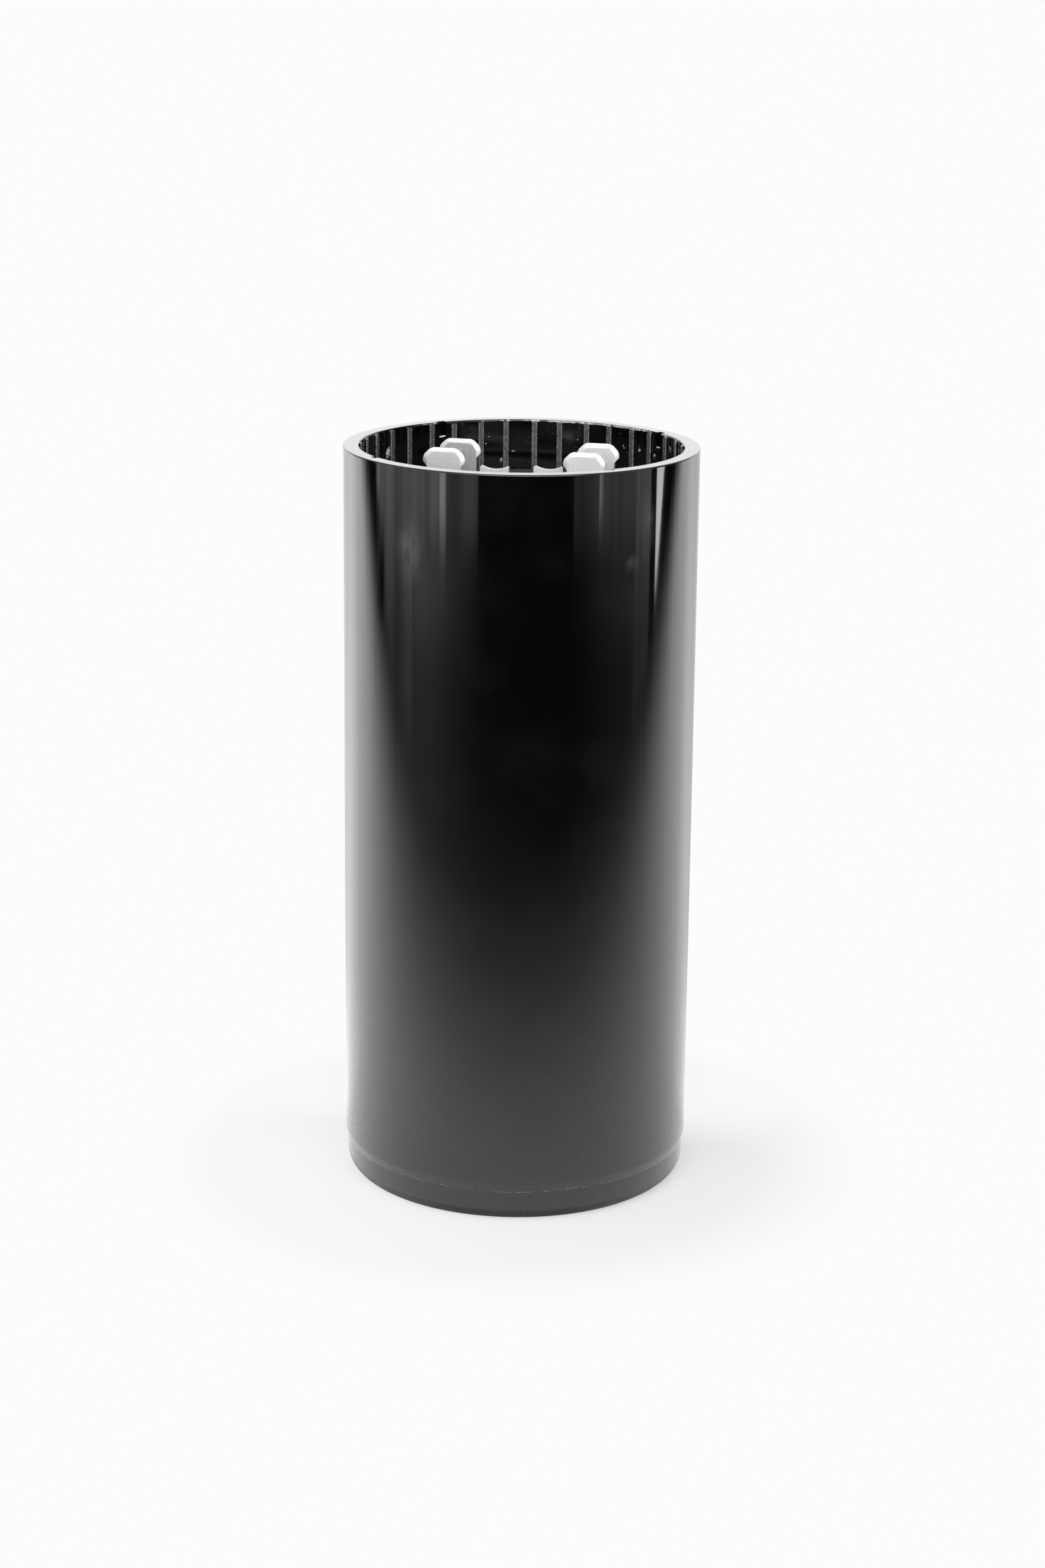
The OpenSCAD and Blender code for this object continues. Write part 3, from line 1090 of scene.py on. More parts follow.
    def build(self) -> bpy.types.Mesh:
        """Joins the columns into one closed mesh.

        Returns:
            The mesh, with each face numbered by its zone.
        """
        columns = self.columns()
        outlines = [self.outline(column) for column in columns]
        rows = len(outlines[0])
        mesh = bpy.data.meshes.new("case_shell")
        shape = bmesh.new()
        foot = shape.verts.new((0.0, 0.0, outlines[0][0][1]))
        top = shape.verts.new((0.0, 0.0, outlines[0][-1][1]))
        grid = []
        for column, outline in zip(columns, outlines):
            turn = Vector((math.cos(column.angle), math.sin(column.angle), 0.0))
            line = [shape.verts.new(turn * out + Vector((0.0, 0.0, up))) for out, up, _ in outline[1:-1]]
            grid.append([foot] + line + [top])
        for index, line in enumerate(grid):
            after = grid[(index + 1) % len(grid)]
            zones = zip(outlines[index], outlines[(index + 1) % len(grid)])
            marks = [max(here[2].value, there[2].value) for here, there in zones]
            for row in range(rows - 1):
                corners = [line[row], after[row], after[row + 1], line[row + 1]]
                face = shape.faces.new(list(dict.fromkeys(corners)))
                face.material_index = min(marks[row], marks[row + 1])
                face.smooth = True
        shape.normal_update()
        shape.to_mesh(mesh)
        shape.free()
        mesh.set_sharp_from_angle(angle=self.shade_break)
        return mesh

    def dress(self) -> bpy.types.Object:
        """Builds the case, gives it its finishes and puts it in the place of the plain solid.

        Returns:
            The finished piece.
        """
        # The ribs' rubbed finish, and the paler one of their edges, which is partly a painted highlight
        rubbed = (RUBBED_PHENOLIC, RIB_EDGE_WEAR_AND_HIGHLIGHT)
        finishes = (MouldedPhenolic(wall=self.radius), *rubbed, TRIMMED_PHENOLIC, CHIPS_WITH_HIGHLIGHT)
        piece = link_piece(self.build(), "case_shell", [finish.make() for finish in finishes])
        even_shading(piece)
        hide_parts("case")
        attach(piece, ROOT)
        return piece


@dataclass(frozen=True)
class Placement:
    """One mark on the inner wall: its kind, its angle about the axis, its drop below the rim and its size."""

    kind: Mark
    degrees: float
    drop: float
    size: float


@dataclass
class WallMarks:
    """Dried residue, specks and fine scratches on the inner wall of the rim."""

    radius: float
    height: float
    thickness: float = 0.03 * MM
    line_width: float = 0.09 * MM
    line_ragged: Span = (0.7, 1.1)
    edge_lift: float = 0.25
    dash_width: float = 0.24 * MM
    dash_steps: int = 4
    dash_rise: float = 0.02 * MM
    hair_turns: tuple[float, ...] = (25.0, 51.0, 77.0, 103.0, 129.0, 155.0)
    hair_drop: float = 0.8
    cross_strokes: tuple[tuple[Span, ...], ...] = (
        ((-0.4, -1.0), (0.0, 0.0), (0.45, 1.0)),
        ((-0.55, 0.45), (0.0, 0.1), (0.4, -0.3)),
    )
    flake_corners: int = 7
    flake_ragged: Span = (0.55, 1.3)
    grain_spread: Span = (0.28, 0.4)
    grain_sizes: Span = (0.08, 0.24)
    crust_grains: int = 110
    dust_grains: int = 26
    speck_count: int = 150
    speck_sizes: Span = (0.03 * MM, 0.09 * MM)
    speck_drops: Span = (1.2 * MM, 7.0 * MM)
    placed: tuple[Placement, ...] = (
        Placement(Mark.CRUST, 162.0, 3.5 * MM, 0.95 * MM),
        Placement(Mark.DUST, 56.0, 3.1 * MM, 0.6 * MM),
        Placement(Mark.DUST, 47.5, 3.6 * MM, 0.6 * MM),
        Placement(Mark.DUST, 36.0, 2.0 * MM, 0.6 * MM),
        Placement(Mark.CROSS, 112.0, 6.3 * MM, 0.75 * MM),
        Placement(Mark.HAIR, 107.5, 4.9 * MM, 0.5 * MM),
        Placement(Mark.DASH, 135.0, 2.25 * MM, 1.05 * MM),
        Placement(Mark.DASH, 45.0, 2.25 * MM, 0.95 * MM),
        Placement(Mark.SPECK, 116.6, 2.6 * MM, 0.2 * MM),
        Placement(Mark.SPECK, 117.8, 3.7 * MM, 0.2 * MM),
        Placement(Mark.SPECK, 83.3, 2.8 * MM, 0.17 * MM),
        Placement(Mark.SPECK, 64.0, 3.0 * MM, 0.2 * MM),
        Placement(Mark.SPECK, 63.6, 3.3 * MM, 0.2 * MM),
    )

    def on_wall(self, spot: Placement, across: float, up: float, lift: float) -> Vector:
        """Gives a point near a spot on the wall.

        Args:
            spot: the mark that the point belongs to.
            across: distance along the wall from the spot.
            up: height above the spot.
            lift: height off the wall, towards the axis.

        Returns:
            The point in the part's frame.
        """
        turn = math.radians(spot.degrees) - across / self.radius
        out = self.radius - lift
        return Vector((out * math.cos(turn), out * math.sin(turn), self.height - spot.drop + up))

    def flake(self, shape: Shape, spot: Placement, across: float, up: float, size: float) -> None:
        """Adds one closed, ragged flake.

        Args:
            shape: the shape to add to.
            spot: the mark that the flake belongs to.
            across: distance along the wall from the spot.
            up: height above the spot.
            size: its mean width.
        """
        count = self.flake_corners
        top = shape.verts.new(self.on_wall(spot, across, up, self.thickness))
        foot = shape.verts.new(self.on_wall(spot, across, up, -self.thickness))
        ring = []
        for index in range(count):
            turn = index * math.tau / count
            reach = size / 2 * random.uniform(*self.flake_ragged)
            edge = (across + reach * math.cos(turn), up + reach * math.sin(turn))
            ring.append(shape.verts.new(self.on_wall(spot, *edge, self.edge_lift * self.thickness)))
        for index, corner in enumerate(ring):
            after = ring[(index + 1) % count]
            shape.faces.new((corner, after, top))
            shape.faces.new((after, corner, foot))

    def line(self, shape: Shape, spot: Placement, course: list[Span], width: float) -> None:
        """Adds one thin closed ridge along a course.

        Args:
            shape: the shape to add to.
            spot: the mark that the ridge belongs to.
            course: its points as distance along the wall and height above the spot.
            width: its width.
        """
        rings = []
        for index, (across, up) in enumerate(course):
            before = course[max(index - 1, 0)]
            after = course[min(index + 1, len(course) - 1)]
            along = Vector((after[0] - before[0], after[1] - before[1])).normalized()
            half = width / 2 * random.uniform(*self.line_ragged)
            side = Vector((-along.y, along.x)) * half
            low = self.edge_lift
            sides = ((side.x, side.y, low), (0.0, 0.0, 1.0), (-side.x, -side.y, low), (0.0, 0.0, -1.0))
            points = [self.on_wall(spot, across + x, up + y, share * self.thickness) for x, y, share in sides]
            rings.append([shape.verts.new(point) for point in points])
        for first, second in zip(rings, rings[1:]):
            for corner in range(4):
                after = (corner + 1) % 4
                shape.faces.new((first[corner], first[after], second[after], second[corner]))
        shape.faces.new(list(reversed(rings[0])))
        shape.faces.new(rings[-1])

    def draw(self, shape: Shape, spot: Placement) -> None:
        """Adds one mark of its kind.

        Args:
            shape: the shape to add to.
            spot: the mark.
        """
        half = spot.size / 2
        if spot.kind is Mark.SPECK:
            self.flake(shape, spot, 0.0, 0.0, spot.size)
        elif spot.kind is Mark.DASH:
            steps = range(self.dash_steps + 1)
            course = [(half * (2 * step / self.dash_steps - 1), self.dash_rise * step) for step in steps]
            self.line(shape, spot, course, self.dash_width)
        elif spot.kind is Mark.HAIR:
            turns = [math.radians(degrees) for degrees in self.hair_turns]
            course = [(half * math.cos(turn), half * (math.sin(turn) - self.hair_drop)) for turn in turns]
            self.line(shape, spot, course, self.line_width)
        elif spot.kind is Mark.CROSS:
            for stroke in self.cross_strokes:
                course = [(across * half, up * half) for across, up in stroke]
                self.line(shape, spot, course, self.line_width)
        else:
            grains = self.crust_grains if spot.kind is Mark.CRUST else self.dust_grains
            wide, high = self.grain_spread
            for _ in range(grains):
                across = random.gauss(0.0, wide * spot.size)
                up = random.gauss(0.0, high * spot.size)
                self.flake(shape, spot, across, up, spot.size * random.uniform(*self.grain_sizes))

    def build(self) -> bpy.types.Mesh:
        """Builds every placed mark and the scattered specks.

        Returns:
            The mesh of all marks.
        """
        mesh = bpy.data.meshes.new("wall_marks")
        shape = bmesh.new()
        scattered = [
            Placement(
                Mark.SPECK,
                random.uniform(0.0, FULL_TURN),
                random.uniform(*self.speck_drops),
                random.uniform(*self.speck_sizes),
            )
            for _ in range(self.speck_count)
        ]
        for spot in list(self.placed) + scattered:
            self.draw(shape, spot)
        bmesh.ops.recalc_face_normals(shape, faces=shape.faces)
        shape.to_mesh(mesh)
        shape.free()
        return mesh

    def dress(self) -> bpy.types.Object:
        """Builds the marks and puts them on the wall.

        Returns:
            The finished piece.
        """
        piece = link_piece(self.build(), "wall_marks", [DRIED_RESIDUE.make()])
        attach(piece, ROOT)
        return piece


@dataclass
class SoftenedPart:
    """A small part taken from its solid, with its sharp edges broken."""

    node: str
    slot: str
    break_width: float
    break_steps: int = 3
    crease: float = math.radians(28)
    shade_break: float = math.radians(40)
    merge: float = 0.0005 * MM
    flat: float = math.radians(0.6)

    def build(self) -> bpy.types.Mesh:
        """Copies the solid's mesh, clears the flat faces of cuts and rounds the sharp edges.

        Returns:
            The softened mesh.
        """
        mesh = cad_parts[self.node].data.copy()
        mesh.name = self.node + "_fine"
        mesh.materials.clear()
        shape = bmesh.new()
        shape.from_mesh(mesh)
        bmesh.ops.remove_doubles(shape, verts=shape.verts, dist=self.merge)
        bmesh.ops.dissolve_limit(shape, angle_limit=self.flat, verts=shape.verts, edges=shape.edges)
        self.form(shape)
        sharp = [edge for edge in shape.edges if edge.is_manifold and edge.calc_face_angle() > self.crease]
        round_edges(shape, sharp, self.break_width, self.break_steps)
        for face in shape.faces:
            face.smooth = True
        shape.to_mesh(mesh)
        shape.free()
        mesh.set_sharp_from_angle(angle=self.shade_break)
        return mesh

    def form(self, shape: Shape) -> None:
        """Works on the shape before its edges are broken; a plain part needs nothing here."""

    def dress(self, finish: bpy.types.Material) -> bpy.types.Object:
        """Builds the part and puts it in the place of the plain solid.

        Args:
            finish: its material.

        Returns:
            The finished piece.
        """
        piece = link_piece(self.build(), self.node + "_fine", [finish])
        even_shading(piece)
        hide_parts(self.node)
        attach(piece, ROOT)
        return piece


@dataclass
class StampedTerminal(SoftenedPart):
    """A terminal, whose blades have the corners of their coined heads rounded."""

    shade_break: float = math.radians(15)
    tip_height: float = 1.6 * MM
    head_height: float = 2.85 * MM
    tip_round: float = 0.4 * MM
    head_round: float = 0.28 * MM
    corner_steps: int = 5
    corner_angle: float = math.radians(12)
    slanted: float = 0.985

    def form(self, shape: Shape) -> None:
        """Rounds the edges that run through the sheet and over the coined bevel at each corner of a head.

        Args:
            shape: the terminal's shape.
        """
        tip = max(vert.co.z for vert in shape.verts)
        self.round_corners(shape, tip - self.tip_height, tip, self.tip_round)
        self.round_corners(shape, tip - self.head_height, tip - self.tip_height, self.head_round)

    def round_corners(self, shape: Shape, low: float, high: float, width: float) -> None:
        """Rounds the corners of the heads between two heights.

        Args:
            shape: the terminal's shape.
            low: height above which a corner counts.
            high: height below which a corner counts.
            width: how far the rounding reaches from the corner.
        """
        corners = []
        for edge in shape.edges:
            within = all(low < vert.co.z <= high for vert in edge.verts)
            if within and len(edge.link_faces) == 2 and edge.calc_face_angle() > self.corner_angle:
                first, second = (abs(face.normal.y) for face in edge.link_faces)
                alike = abs(first - second) < 1.0 - self.slanted
                if alike and first < self.slanted:
                    corners.append(edge)
        round_edges(shape, corners, width, self.corner_steps)


@dataclass
class HeaderSet:
    """What shows in the recess: the header board, the relief plug, the terminals and their rivets."""

    sheet_break: float = 0.09 * MM
    rivet_break: float = 0.12 * MM
    board_break: float = 0.1 * MM
    plug_break: float = 0.2 * MM

    def dress(self) -> list[bpy.types.Object]:
        """Builds every part of the set.

        Returns:
            The finished pieces.
        """
        tin = TinnedSheet().make()
        aluminium = RIVET_ALUMINIUM.make()
        pieces = [
            SoftenedPart("header", "header", self.board_break).dress(PRESSED_BOARD.make()),
            SoftenedPart("vent_plug", "rubber", self.plug_break).dress(SEAL_RUBBER.make()),
        ]
        for side in Side:
            terminal = StampedTerminal("terminal_" + side.value, "terminal", self.sheet_break)
            rivet = SoftenedPart("rivet_" + side.value, "aluminium", self.rivet_break)
            pieces += [terminal.dress(tin), rivet.dress(aluminium)]
        return pieces


class SealedParts:
    """The parts that the header closes in; their solids are right and take a finish."""

    def dress(self) -> list[bpy.types.Object]:
        """Gives each sealed part its finish.

        Returns:
            The dressed nodes.
        """
        finishes = {
            "gasket": GASKET_RUBBER.make(),
            "winding": WoundPaper().make(),
            "winding_tape": FILM_TAPE.make(),
            "anchor_compound": POURED_COMPOUND.make(),
        }
        aluminium = CONTACT_ALUMINIUM.make()
        for side in Side:
            finishes["washer_" + side.value] = aluminium
            finishes["lead_tab_" + side.value] = aluminium
        dressed = []
        for name, finish in finishes.items():
            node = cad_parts[name]
            for slot in node.material_slots:
                slot.material = finish
            dressed.append(node)
        return dressed


@dataclass(frozen=True)
class Dimming:
    """How a panel dims: full above a height, least below a lower one, and dark past a span further up."""

    low: float = -2.0
    high: float = -1.9
    least: float = 0.0
    ends: Span = (9.0, 9.1)

    def share(self, bench: NodeBench, up: object) -> Socket:
        """Gives the share of the panel's glow at a height, from the least to one."""
        lower = bench.fit(up, self.low, self.high, self.least, 1.0)
        return bench.times(lower, bench.fit(up, *self.ends, 1.0, 0.0))


@dataclass(frozen=True)
class GlowPanel:
    """A glowing panel of the studio that the camera doesn't see: a lamp, or a sheer veil in front of one."""

    name: str
    corners: tuple[Triple, ...]
    glow: float
    dim: Dimming = Dimming()
    streak: float = 0.0
    folds: Grain = Grain((18.0, 18.0, 1.5), 3.0)
    veil: Span | None = None
    veil_bend: float = 1.0
    veil_end: Span = (-180.0, -179.0)

    def build(self) -> bpy.types.Object:
        """Makes the panel in the studio's frame.

        Returns:
            The panel.
        """
        mesh = bpy.data.meshes.new(self.name)
        mesh.from_pydata(list(self.corners), [], [tuple(range(len(self.corners)))])
        panel = link_piece(mesh, self.name, [self.glowing()])
        panel.matrix_world = Matrix.Rotation(STUDIO_TURN, 4, "Z")
        panel.visible_camera = False
        panel.visible_shadow = False
        return panel

    def glowing(self) -> bpy.types.Material:
        """Makes the panel's material, which dims downwards and, on a veil, sideways too.

        Returns:
            The material.
        """
        material, bench = blank_material(self.name)
        point = bench.axes(bench.place())
        streaks = self.folds.share(bench, 1.0 - self.streak, 1.0 + self.streak)
        strength = bench.times(self.dim.share(bench, point.outputs["Z"]), streaks, self.glow)
        if self.veil is None:
            bench.show(bench.plain("ShaderNodeEmission", Strength=strength))
            return material
        turn = bench.sum_up("ARCTAN2", point.outputs["X"], bench.times(point.outputs["Y"], -1.0))
        side, end = (
            bench.fit(turn, math.radians(first), math.radians(last), 0.0, 1.0)
            for first, last in (self.veil, self.veil_end)
        )
        sheer = bench.times(strength, bench.sum_up("POWER", side, self.veil_bend), end)
        both = bench.add("ShaderNodeAddShader")
        bench.feed(both.inputs[0], bench.plain("ShaderNodeEmission", Strength=sheer))
        bench.feed(both.inputs[1], bench.plain("ShaderNodeBsdfTransparent"))
        bench.show(both.outputs["Shader"])
        return material


@dataclass
class Studio:
    """A white table with a rounded front edge, soft panels around it and a white surround."""

    table_front: float = -77 * MM
    table_back: float = 1500 * MM
    nose_round: float = 3180 * MM
    nose_slope: float = 7.5
    nose_steps: int = 60
    table_half: float = 1100 * MM
    table_white: float = 0.93
    run_out_white: float = 0.975
    shade_near: float = 20 * MM
    shade_far: float = 60 * MM
    # Shares of painted white that lift the part's shadow on the table: near the part on the left and right,
    # and behind it
    shadow_lift_left: float = 0.75
    shadow_lift_right: float = 0.42
    white_reach: float = 40 * MM
    shadow_lift_back: float = 0.9
    back_start: float = -15 * MM
    back_full: float = 25 * MM
    mirror_glow: float = 2.3
    mirror_least: float = 0.1
    mirror_dark: float = -100 * MM
    mirror_full: float = 120 * MM
    right_share: float = 0.78
    side_reach: float = 80 * MM
    back_share: float = 0.5
    back_turn: Span = (0.72, 0.95)
    foot_shade: float = 0.7
    foot_near: float = 20 * MM
    foot_far: float = 105 * MM
    foot_open: float = -8 * MM
    foot_back: float = 30 * MM
    foot_gain: float = 1.25
    gain_far: float = 60 * MM
    contact_near: float = 25 * MM
    contact_far: float = 28.5 * MM
    contact_least: float = 0.1
    card_reach: float = 420 * MM
    card_low: float = -120 * MM
    card_high: float = 300 * MM
    card_glow: float = 1.1
    card_streak: float = 0.35
    strip_reach: float = 410 * MM
    strip_high: float = 200 * MM
    wedge_reach: float = 360 * MM
    wedge: tuple[Span, ...] = ((94.2, 19 * MM), (101.4, 60 * MM), (94.0, 60 * MM))
    wedge_glow: float = 5.6
    melt_low: float = 18 * MM
    melt_high: float = 36 * MM
    veil_pieces: int = 7
    veil_end: Span = (-84.0, -62.0)
    veil_reach: float = 400 * MM
    veil_high: float = 60 * MM
    veil_low: float = -10 * MM
    veil_least: float = 0.35
    surround: float = 0.3
    backdrop_span: Span = (0.5, 0.75)

    def around(self, degrees: float, reach: float, up: float) -> Triple:
        """Gives a point at an angle from the camera's side, to the right as the camera sees it."""
        turn = math.radians(degrees)
        return (reach * math.sin(turn), -reach * math.cos(turn), up)

    def upright(self, start: float, stop: float, reach: float, low: float, high: float) -> tuple[Triple, ...]:
        """Gives the corners of an upright panel between two angles in degrees and two heights."""
        sides = ((start, low), (stop, low), (stop, high), (start, high))
        return tuple(self.around(degrees, reach, up) for degrees, up in sides)

    def card(self, name: str, start: float, stop: float, share: float, dim: Dimming) -> GlowPanel:
        """Makes a card between two angles in degrees, with its share of the cards' brightness."""
        corners = self.upright(start, stop, self.card_reach, self.card_low, self.card_high)
        return GlowPanel(name, corners, share * self.card_glow, dim, self.card_streak)

    def strip(self, name: str, start: float, stop: float, low: float, glow: float, dim: Dimming) -> GlowPanel:
        """Makes a narrow bright strip between two angles in degrees, in front of the cards."""
        corners = self.upright(start, stop, self.strip_reach, low, self.strip_high)
        return GlowPanel(name, corners, glow, dim)

    def veil(self, name: str, edges: Span, span: Span, glow: float, bend: float) -> list[GlowPanel]:
        """Makes a sheer glow in front of the cards, into which their lower ends melt.

        Args:
            name: the veil's name.
            edges: angles of its side edges in degrees.
            span: the angles at which it is dark and full.
            glow: its brightness.
            bend: how fast it falls off between them.

        Returns:
            The pieces of the veil, side by side.
        """
        dim = Dimming(self.veil_low, self.melt_low, self.veil_least, (self.melt_low, self.melt_high))
        start, stop = edges
        width = (stop - start) / self.veil_pieces
        pieces = []
        for index in range(self.veil_pieces):
            left = start + index * width
            corners = self.upright(left, left + width, self.veil_reach, self.card_low, self.veil_high)
            piece = GlowPanel(f"{name}_{index + 1}", corners, glow, dim)
            pieces.append(replace(piece, veil=span, veil_bend=bend, veil_end=self.veil_end))
        return pieces

    def lamp(self, name: str, middle: Triple, half: float, length: Triple, glow: float) -> GlowPanel:
        """Makes a flat lamp that is level from side to side.

        Args:
            name: the lamp's name.
            middle: its middle.
            half: half of its width.
            length: half of its length, as a direction.
            glow: its brightness.

        Returns:
            The lamp.
        """
        across = Vector((half, 0.0, 0.0))
        along = Vector(length)
        turns = ((-1, -1), (1, -1), (1, 1), (-1, 1))
        corners = [Vector(middle) + side * across + end * along for side, end in turns]
        return GlowPanel(name, tuple(tuple(corner) for corner in corners), glow)

    def panels(self) -> list[GlowPanel]:
        """Lists the studio's soft panels, placed with the camera towards -Y.

        Returns:
            The panels.
        """
        lamps = [
            self.lamp(
                "panel_above",
                middle=(0.0, 100 * MM, 750 * MM),
                half=600 * MM,
                length=(0.0, 600 * MM, 0.0),
                glow=0.5,
            ),
            self.lamp(
                "panel_front",
                middle=(0.0, -620 * MM, 460 * MM),
                half=550 * MM,
                length=(0.0, 60 * MM, 260 * MM),
                glow=4.4,
            ),
            self.lamp(
                "panel_behind",
                middle=(0.0, 750 * MM, 245 * MM),
                half=800 * MM,
                length=(0.0, 0.0, 95 * MM),
                glow=1.95,
            ),
        ]
        edge = Dimming(low=30 * MM, high=42 * MM, least=0.1)
        rear = Dimming(low=14 * MM, high=40 * MM)
        wide = Dimming(low=-5 * MM, high=45 * MM, least=0.3)
        melting = Dimming(self.melt_low, self.melt_high)
        cards = [
            self.card("card_left_edge", start=-102.6, stop=-100.0, share=1.1, dim=edge),
            self.card("card_left_rear", start=-100.0, stop=-95.5, share=0.78, dim=rear),
            self.card("card_left", start=-95.5, stop=-72.0, share=0.78, dim=wide),
            self.card("card_left_front", start=-72.0, stop=-50.0, share=0.98, dim=melting),
            self.card("card_left_inner", start=-50.0, stop=-26.6, share=0.46, dim=melting),
            self.card("card_right", start=76.5, stop=88.0, share=0.85, dim=wide),
            self.card("card_right_front", start=51.0, stop=76.5, share=0.44, dim=melting),
            self.card("card_right_inner", start=33.0, stop=51.0, share=0.265, dim=melting),
        ]
        wedge = tuple(self.around(degrees, self.wedge_reach, up) for degrees, up in self.wedge)
        left = Dimming(low=17 * MM, high=40 * MM)
        right = Dimming(low=28 * MM, high=40 * MM)
        strips = [
            GlowPanel("strip_right", wedge, self.wedge_glow),
            self.strip("strip_left", start=-47.5, stop=-52.0, low=10 * MM, glow=2.6, dim=left),
            self.strip("strip_right_front", start=49.0, stop=51.2, low=27 * MM, glow=2.4, dim=right),
        ]
        veils = self.veil("veil_left", edges=(-84.0, -5.0), span=(-5.0, -75.0), glow=0.74, bend=1.6)
        veils += self.veil("veil_right", edges=(22.0, 76.5), span=(24.0, 82.0), glow=0.25, bend=1.2)
        return lamps + cards + strips + veils

    def build(self) -> None:
        """Sets up the table, the panels and the surround."""
        self.table()
        for panel in self.panels():
            panel.build()
        self.surround_light()

    def table(self) -> bpy.types.Object:
        """Makes the white table top with its rounded nose towards the camera.

        Returns:
            The table top.
        """
        mesh = bpy.data.meshes.new("table")
        corners = [(self.table_half, self.table_back, 0.0), (-self.table_half, self.table_back, 0.0)]
        front = self.table_front + self.mirror_dark
        for step in range(self.nose_steps + 1):
            across = self.table_half * (2 * step / self.nose_steps - 1)
            back = math.hypot(across, self.nose_round) - self.nose_round
            corners.append((across, front + self.nose_slope * back, 0.0))
        mesh.from_pydata(corners, [], [tuple(range(len(corners)))])
        table = link_piece(mesh, "table", [self.table_paper()])
        table.matrix_world = Matrix.Rotation(STUDIO_TURN, 4, "Z")
        return table

    def table_paper(self) -> bpy.types.Material:
        """Makes the table's white, which keeps the part's shadow, lifted by painted white near the part more
        on the left and behind than on the right, and runs out into the white surround.

        Returns:
            The material.
        """
        material, bench = blank_material("table_paper")
        path = bench.add("ShaderNodeLightPath")
        point = bench.axes(bench.place())
        paper = bench.plain("ShaderNodeBsdfDiffuse", Color=grey(self.table_white))
        white = bench.plain("ShaderNodeEmission", Color=grey(self.run_out_white))
        mirrored = bench.plain("ShaderNodeEmission", Strength=self.table_glow(bench))
        reach = self.white_reach
        # Painted light: near the part the table mixes in more white on the left and behind, so that its
        # shadow falls mainly to the right
        near = bench.fit(point.outputs["X"], -reach, reach, self.shadow_lift_left, self.shadow_lift_right)
        far = bench.fit(bench.length(bench.place()), self.shade_near, self.shade_far, 0.0, 1.0)
        back = bench.fit(point.outputs["Y"], self.back_start, self.back_full, 0.0, self.shadow_lift_back)
        share = bench.sum_up("MAXIMUM", bench.sum_up("MAXIMUM", near, far), back)
        run_out = bench.choose(share, paper, white)
        soft = bench.choose(path.outputs["Is Glossy Ray"], paper, mirrored)
        bench.show(bench.choose(path.outputs["Is Camera Ray"], soft, run_out))
        return material

    def table_glow(self, bench: NodeBench) -> Socket:
        """Gives the brightness that the part mirrors from the table, dimming out towards its rounded nose.

        Args:
            bench: the node tree to add to.

        Returns:
            The brightness.
        """
        point = bench.axes(bench.place())
        across, deep = point.outputs["X"], point.outputs["Y"]
        slant = bench.sum_up("SQRT", bench.sum_up("ADD", bench.times(across, across), self.nose_round**2))
        back = bench.times(bench.sum_up("SUBTRACT", slant, self.nose_round), self.nose_slope)
        inside = bench.sum_up("SUBTRACT", bench.sum_up("SUBTRACT", deep, self.table_front), back)
        open_glow = bench.fit(inside, self.mirror_dark, self.mirror_full, self.mirror_least, self.mirror_glow)
        away = bench.length(bench.place())
        shade = bench.fit(away, self.foot_near, self.foot_far, self.foot_shade, 1.0)
        behind = bench.fit(deep, self.foot_open, self.foot_back, 0.0, 1.0)
        gain = bench.fit(away, self.foot_near, self.gain_far, self.foot_gain, 1.0)
        shaded = bench.sum_up("MAXIMUM", shade, bench.times(behind, gain))
        contact = bench.fit(away, self.contact_near, self.contact_far, self.contact_least, 1.0)
        sideways = bench.fit(across, -self.side_reach, self.side_reach, 1.0, self.right_share)
        rearward = bench.fit(bench.sum_up("DIVIDE", deep, away), *self.back_turn, 1.0, self.back_share)
        return bench.times(open_glow, shaded, contact, sideways, rearward)

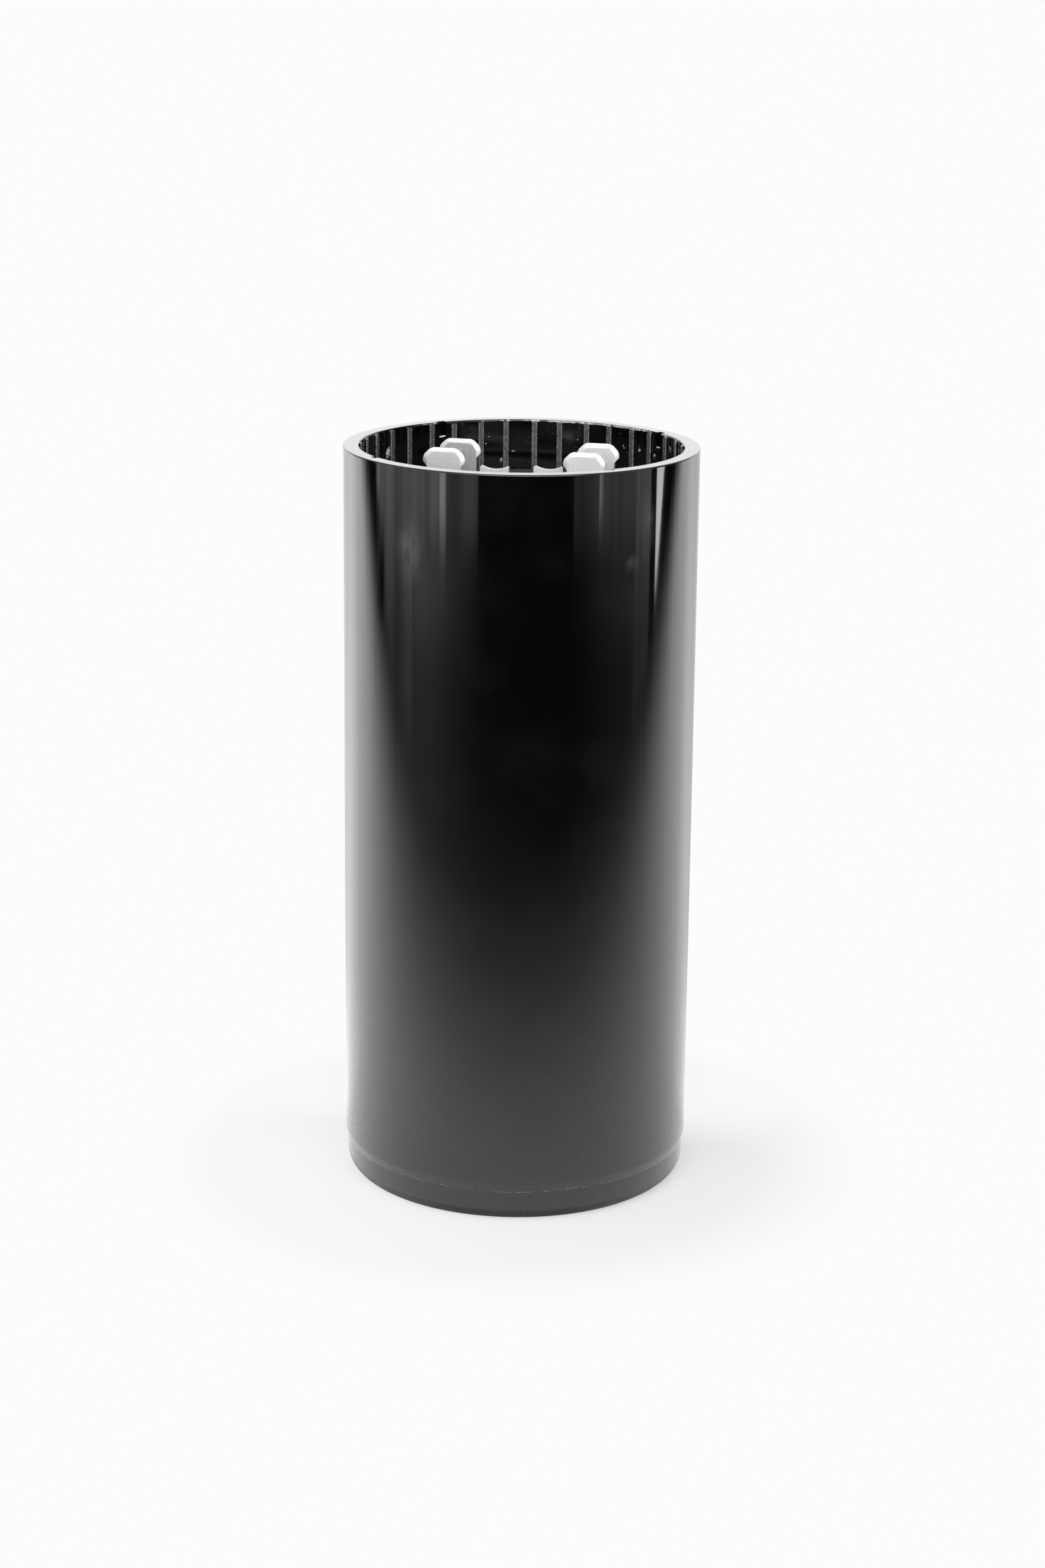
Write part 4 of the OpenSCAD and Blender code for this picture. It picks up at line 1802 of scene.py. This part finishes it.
    def surround_light(self) -> None:
        """Makes the surround white to the camera, and to mirrors behind the part; it adds a little light."""
        world = bpy.data.worlds.new("surround")
        world.use_nodes = True
        bpy.context.scene.world = world
        bench = NodeBench(world.node_tree)
        path = bench.add("ShaderNodeLightPath")
        mirrored = path.outputs["Is Glossy Ray"]
        level = bench.times(bench.sum_up("SUBTRACT", 1.0, mirrored), self.surround)
        dim = bench.plain("ShaderNodeBackground", Color=grey(1.0), Strength=level)
        seen = bench.plain("ShaderNodeBackground", Color=grey(self.run_out_white))
        towards = bench.add("ShaderNodeVectorMath", operation="DOT_PRODUCT")
        bench.feed(towards.inputs[0], bench.add("ShaderNodeTexCoord").outputs["Generated"])
        towards.inputs[1].default_value = (-math.sin(STUDIO_TURN), math.cos(STUDIO_TURN), 0.0)
        behind = bench.fit(towards.outputs["Value"], *self.backdrop_span, 0.0, 1.0)
        sharp = bench.sum_up("MAXIMUM", mirrored, path.outputs["Is Transmission Ray"])
        shown = bench.sum_up("MAXIMUM", path.outputs["Is Camera Ray"], bench.times(sharp, behind))
        bench.show(bench.choose(shown, dim, seen), "ShaderNodeOutputWorld")


@dataclass(frozen=True)
class PhotoCamera:
    """The camera of the photograph: its place, its heading, how far it looks down, its roll and its lens."""

    place: Triple = (114.5 * MM, -445.3 * MM, 187.2 * MM)
    heading: float = math.radians(14.342)
    dip: float = math.radians(15.425)
    roll: float = math.radians(0.589)
    lens_mm: float = 72.47
    film_mm: float = 36.0
    nearest: float = 10 * MM

    def build(self) -> bpy.types.Object:
        """Makes the camera and hands it to the scene.

        Returns:
            The camera.
        """
        data = bpy.data.cameras.new("photo_camera")
        data.lens = self.lens_mm
        data.sensor_width = self.film_mm
        data.clip_start = self.nearest
        camera = bpy.data.objects.new("photo_camera", data)
        bpy.context.scene.collection.objects.link(camera)
        level = math.cos(self.dip)
        ahead = Vector((-math.sin(self.heading) * level, math.cos(self.heading) * level, -math.sin(self.dip)))
        right = Vector((math.cos(self.heading), math.sin(self.heading), 0.0))
        above = right.cross(ahead)
        rolled_right = right * math.cos(self.roll) + above * math.sin(self.roll)
        rolled_up = above * math.cos(self.roll) - right * math.sin(self.roll)
        turn = Matrix((rolled_right, rolled_up, -ahead)).transposed().to_4x4()
        camera.matrix_world = Matrix.Translation(self.place) @ turn
        bpy.context.scene.camera = camera
        return camera


def main() -> None:
    """Builds the camera, the part and the studio in order."""
    logging.basicConfig(level=logging.INFO, format="%(message)s")
    random.seed(SEED)
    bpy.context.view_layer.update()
    bpy.context.scene.view_settings.view_transform = "Standard"
    PhotoCamera().build()
    _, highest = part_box("case")
    shell = CaseShell(radius=highest[0], height=highest[2])
    marks = WallMarks(radius=shell.rim_radius, height=shell.height)
    for piece in [shell.dress(), marks.dress()] + HeaderSet().dress() + SealedParts().dress():
        log.info("%s: %d faces", piece.name, len(piece.data.polygons))
    Studio().build()


if __name__ == "__main__":
    main()
